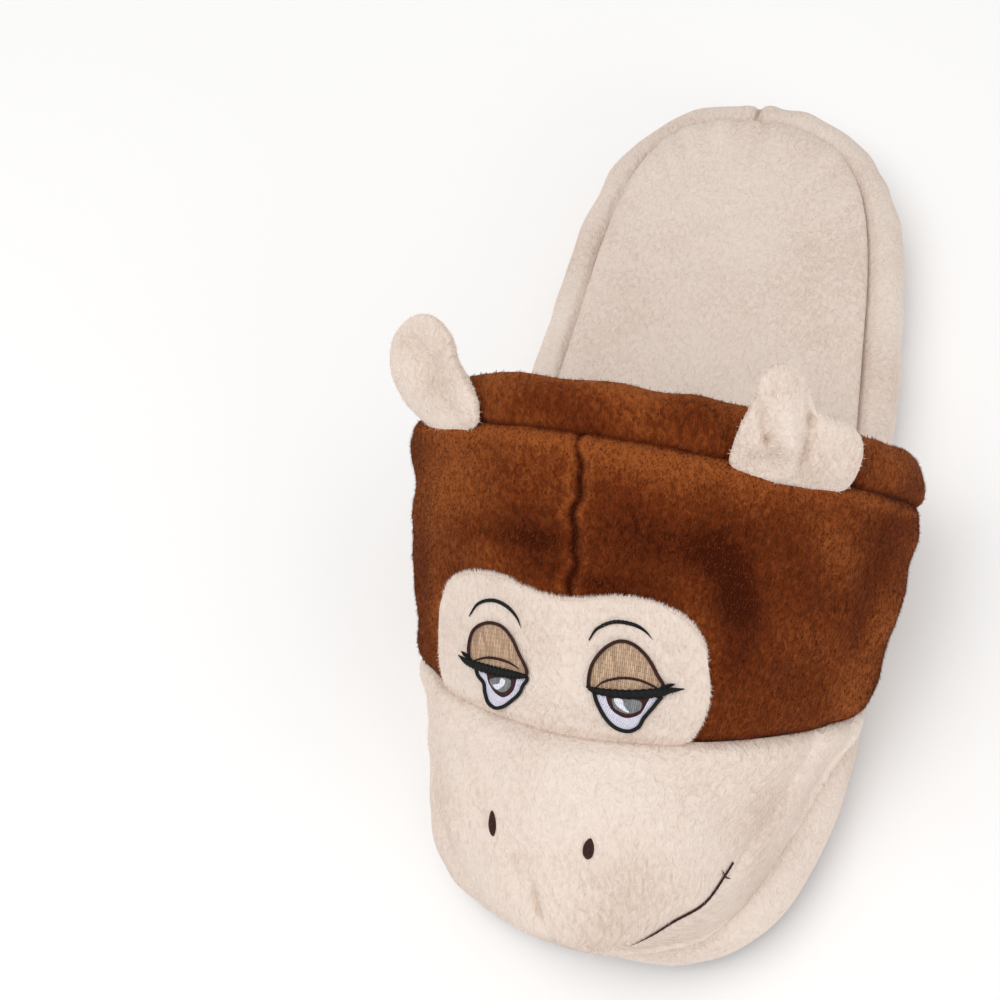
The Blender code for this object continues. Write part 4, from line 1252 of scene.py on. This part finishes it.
# Ears: two layers of cream velboa turned through and lightly filled, with a pinched root sewn in
# the ridge seam. The one on the wearer's left is folded, its outer half flopping down.
EAR_WIDTH = 0.033
EAR_HEIGHT = 0.026
EAR_THICKNESS = 0.0062
EAR_TURN = math.radians(43)
EAR_HALF_TURN = math.radians(14)
EAR_LEAN_BACK = math.radians(40)
EAR_ROOT_LIFT = 0.0016
EAR_ROOT_PLACE = 0.99
LEFT_EAR_NEARER = math.radians(9)
FOLDED_EAR = (
    # outwards, up, in millimetres
    (-16.5, -1.2), (-17.8, 3.2), (-17.6, 9.5), (-16.6, 15.0), (-16.8, 20.0), (-14.6, 23.4),
    (-10.5, 24.2), (-6.8, 22.6), (-3.4, 18.4), (-0.4, 15.2), (3.2, 14.8), (8.4, 14.0), (12.8, 11.4),
    (15.6, 6.0), (15.8, -0.8), (8.0, -2.6), (0.0, -3.2), (-8.0, -2.8),
)
UPRIGHT_EAR = (
    (-12.8, -1.0), (-14.4, 2.6), (-13.0, 7.0), (-7.0, 14.4), (-5.6, 20.6), (-1.2, 24.6), (4.0, 25.8),
    (9.4, 23.8), (14.4, 18.0), (16.2, 10.0), (14.6, 3.4), (10.6, -0.6), (4.0, -2.8), (-4.0, -3.2),
)
FOLDED_CREASES = (
    # from (outwards, up) to (outwards, up), width, height, in millimetres
    (-11.5, 20.0, -6.5, 8.0, 3.0, 1.9),
    (-6.5, 8.0, -3.4, -2.0, 2.5, 1.7),
    (-15.5, 14.0, -10.9, 6.9, 1.2, -1.5),
    (-10.9, 6.9, -6.0, 0.0, 1.2, -1.3),
    (-5.4, 20.0, -2.0, 13.5, 1.5, -1.5),
    (-2.0, 13.5, -0.8, 0.0, 1.3, -1.5),
    (5.0, 12.0, 12.0, 9.0, 3.0, 0.8),
    (6.0, 3.0, 12.0, 3.0, 4.0, 0.5),
)
UPRIGHT_CREASES = (
    (-6.0, 3.0, 4.0, 19.0, 3.5, -1.0),
    (13.5, 8.0, 13.5, 20.0, 0.9, -1.2),
)
UPRIGHT_CURL = ((13.0, 9.0, 12.0, 19.0, 8.0, 2.2),)


def crease_relief(out, up, rows):
    """Sum of soft ridges or troughs along short straight lines, each a bell of the distance."""
    relief = np.zeros_like(out)
    for s0, h0, s1, h1, width, height in rows:
        line = np.array([s1 - s0, h1 - h0])
        part = np.clip(((out - s0) * line[0] + (up - h0) * line[1]) / (line @ line), 0, 1)
        away = np.hypot(out - s0 - part * line[0], up - h0 - part * line[1])
        relief = relief + height * bell(away, width)
    return relief


def ear(side, middle_turn, outline, creases, curl, seed):
    """Rings that shrink from the ear's outline to its middle, in front and behind. The root bends
    along the ridge seam, and the lobe straightens into its own plane, which leans back."""
    edge = smooth_line(outline, 150, closed=True)
    middle = edge.mean(0)
    front_shares = np.concatenate([np.linspace(0.03, 0.88, 20), np.sin(np.linspace(1.15, math.pi / 2, 5))])
    shares = np.concatenate([front_shares, front_shares[-2::-1]])[:, None]
    layer = np.concatenate([np.ones(25), -np.ones(24)])[:, None]
    flat = middle + (edge - middle)[None] * shares[..., None]
    out, up = flat[..., 0], flat[..., 1]
    swell = np.sqrt(np.clip(1 - shares**3.2, 0, 1)) * (0.35 + 0.65 * np.clip((up + 4) / 8, 0, 1))
    relief = crease_relief(out, up, creases) * np.where(layer > 0, 1, 0.55) * (1 - shares**6)
    dish = 1.2 * ((out / 16.5) ** 2 - 0.4) * np.clip(up / 10, 0, 1) + crease_relief(out, up, curl)
    lumps = 0.35 * soft_lumps(np.stack([out, up, 0 * up], -1), 9.0, seed) * (1 - shares**4)
    deep = (layer * EAR_THICKNESS / 2 * swell * 1000 + relief + dish + lumps) / 1000
    out, up = out / 1000, up / 1000
    centre = on_upper(EAR_ROOT_PLACE, side * middle_turn, EAR_ROOT_LIFT)
    first, last = (side * (middle_turn + k * EAR_HALF_TURN) for k in (-1, 1))
    sideways = on_upper(EAR_ROOT_PLACE, last, EAR_ROOT_LIFT) - on_upper(EAR_ROOT_PLACE, first, EAR_ROOT_LIFT)
    sideways = unit(sideways)
    rise = np.array([0.0, math.sin(EAR_LEAN_BACK), math.cos(EAR_LEAN_BACK)])
    rise = unit(rise - sideways * (rise @ sideways))
    front = unit(np.cross(sideways, rise)) * side
    turn = side * (middle_turn + EAR_HALF_TURN * out / (EAR_WIDTH / 2))
    seam = on_upper(np.full_like(turn, EAR_ROOT_PLACE), turn, np.full_like(turn, EAR_ROOT_LIFT))
    seated = (np.clip(1 - up / EAR_HEIGHT, 0, 1) ** 2)[..., None]
    foot = seated * seam + (1 - seated) * (centre + out[..., None] * sideways)
    points = foot + up[..., None] * rise + deep[..., None] * front
    # Tones: random, with painted shade in the creases' troughs and along the sewn rim.
    tones = 0.12 * soft_lumps(points, 0.012, seed) + 0.16 * np.minimum(relief, 0) - 0.25 * (shares > 0.985)
    return points, np.stack([out, up], -1), tones


EARS = (
    # name, side, turn, outline, creases, curl, seed
    ("ear_right", 1, EAR_TURN, FOLDED_EAR, FOLDED_CREASES, (), 71),
    ("ear_left", -1, EAR_TURN - LEFT_EAR_NEARER, UPRIGHT_EAR, UPRIGHT_CREASES, UPRIGHT_CURL, 72),
)
ear_rings = {}
for name, side, middle_turn, outline, creases, curl, seed in EARS:
    ear_points, ear_cloth, ear_tones = ear(side, middle_turn, outline, creases, curl, seed)
    points, faces = closed_rings(ear_points)
    cloth = np.concatenate([ear_cloth.reshape(-1, 2), ear_cloth[0, :1], ear_cloth[-1, :1]])
    tones = np.concatenate([ear_tones.ravel(), ear_tones[0, :1], ear_tones[-1, :1]])
    lobe = piece(name.replace("ear", "plush_ear"), points, faces, cream_velboa, cloth, tones)
    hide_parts(name)
    ear_rings[name] = ear_points

# Pile: single hairs of the velboa that stand out of the nap. They soften the outlines of the forehead,
# cuff, muzzle, patch and ears, and along the patch's rim the cut edge lets more of them out.
CREAM_HAIRS = ((0.84, 0.73, 0.65), (0.89, 0.79, 0.71), (0.94, 0.86, 0.80))
BROWN_HAIRS = ((0.090, 0.017, 0.004), (0.150, 0.034, 0.008), (0.220, 0.058, 0.014))
HAIR_WIDTH = 0.00017
HAIR_ROOT = 0.00015
HAIR_SCATTER = 0.38
SIDE_RIM_HAIRS, TOP_RIM_HAIRS = 1300, 2600


def hair_materials(name, colours):
    """Three plain shades of one pile."""
    shades = zip(("dark", "middle", "light"), colours)
    return [matt(name + " " + shade, colour, 0.9, 0.05) for shade, colour in shades]


def hairs(name, roots, ways, lengths, materials, seed):
    """One closed four-sided spike a hair: three base corners round its root and a tip."""
    draw = np.random.default_rng(seed)
    count = len(roots)
    ways = unit(ways)
    aside = unit(np.cross(ways, unit(draw.normal(size=(count, 3)))))
    other = np.cross(ways, aside)
    angle = np.radians([90, 210, 330])[None, :, None]
    around = np.cos(angle) * aside[:, None] + np.sin(angle) * other[:, None]
    base = roots[:, None] + HAIR_WIDTH / 2 * around - HAIR_ROOT * ways[:, None]
    points = np.concatenate([base, (roots + ways * lengths[:, None])[:, None]], 1).reshape(-1, 3)
    faces = np.array([(0, 2, 1), (0, 1, 3), (1, 2, 3), (2, 0, 3)])
    faces = (faces[None] + 4 * np.arange(count)[:, None, None]).reshape(-1, 3)
    mesh = bpy.data.meshes.new(name)
    mesh.from_pydata(points.tolist(), [], faces.tolist())
    for material in materials:
        mesh.materials.append(material)
    tone = np.repeat(draw.choice(3, count, p=(0.3, 0.45, 0.25)), 4)
    mesh.polygons.foreach_set("material_index", tone.astype(np.int32))
    return riding(name, mesh)


def scattered(grid, count, seed, nap, closed=False, stand=0.45, reach=0.0009):
    """Random roots over a grid of points, spread by cell area, and hairs that lean with the nap
    (shares along the grid's columns and rows) and a little at random."""
    draw = np.random.default_rng(seed)
    if closed:
        grid = np.concatenate([grid, grid[:, :1]], 1)
    a, b, c = grid[:-1, :-1], grid[:-1, 1:], grid[1:, :-1]
    normal = np.cross(b - a, c - a)
    area = np.linalg.norm(normal, axis=-1)
    cell = draw.choice(area.size, count, p=area.ravel() / area.sum())
    row, column = np.divmod(cell, area.shape[1])
    u, v = draw.random((2, count, 1))
    root = a[row, column] + u * (b - a)[row, column] + v * (c - a)[row, column]
    out = unit(normal[row, column])
    centre = grid.reshape(-1, 3).mean(0)
    if ((root - centre) * out).sum() < 0:
        out = -out
    lean = nap[0] * unit((b - a)[row, column]) + nap[1] * unit((c - a)[row, column])
    way = out * stand + lean + draw.normal(size=(count, 3)) * HAIR_SCATTER
    return root, way, reach * draw.uniform(0.6, 1.25, count)


cream_hairs = hair_materials("cream hair", CREAM_HAIRS)
brown_hairs = hair_materials("brown hair", BROWN_HAIRS)
FURS = (
    # name, grid, hairs, nap's way across and along, shades, whether the grid closes
    ("hair_forehead_right", forehead_half(-1)[0], 14000, (0.2, -0.7), brown_hairs, False),
    ("hair_forehead_left", forehead_half(1)[0], 17000, (-0.2, -0.7), brown_hairs, False),
    ("hair_cuff", cuff()[0][:36], 7000, (0.1, 0.5), brown_hairs, False),
    ("hair_muzzle", muzzle()[0][6:], 9000, (0.1, -0.6), cream_hairs, False),
    ("hair_patch", face_patch()[0], 1500, (0.0, -0.5), cream_hairs, False),
    ("hair_ear_right", ear_rings["ear_right"], 2200, (0.1, 0.4), cream_hairs, True),
    ("hair_ear_left", ear_rings["ear_left"], 2200, (0.1, 0.4), cream_hairs, True),
)
for seed, (name, grid, count, nap, materials, closed) in enumerate(FURS):
    hairs(name, *scattered(grid, count, 80 + seed, nap, closed), materials, seed)
rim_draw = np.random.default_rng(95)
rim_up = np.concatenate([rim_draw.random(SIDE_RIM_HAIRS), np.ones(TOP_RIM_HAIRS)])
rim_side = np.sign(rim_draw.random(SIDE_RIM_HAIRS) - 0.5)
rim_top = np.sin(rim_draw.uniform(-1, 1, TOP_RIM_HAIRS) * math.pi / 2)
rim_across = np.concatenate([rim_side, rim_top])
rim_along, rim_turn = patch_place(rim_across * 0.985, rim_up * 0.985)
rim_root = on_upper(rim_along, rim_turn, rim_draw.uniform(0.0006, 0.0016, rim_up.size))
beyond_along, beyond_turn = patch_place(rim_across * 1.03, rim_up)
at_top = rim_up > 0.99
past_along = np.where(at_top, rim_along + 0.02, beyond_along)
past_turn = np.where(at_top, rim_turn, beyond_turn)
past = on_upper(past_along, past_turn, np.full(rim_up.size, 0.0014))
rim_way = unit(past - rim_root) + 0.35 * rim_draw.normal(size=(rim_up.size, 3))
hairs("hair_patch_rim", rim_root, rim_way, rim_draw.uniform(0.0006, 0.0014, rim_up.size), cream_hairs, 96)
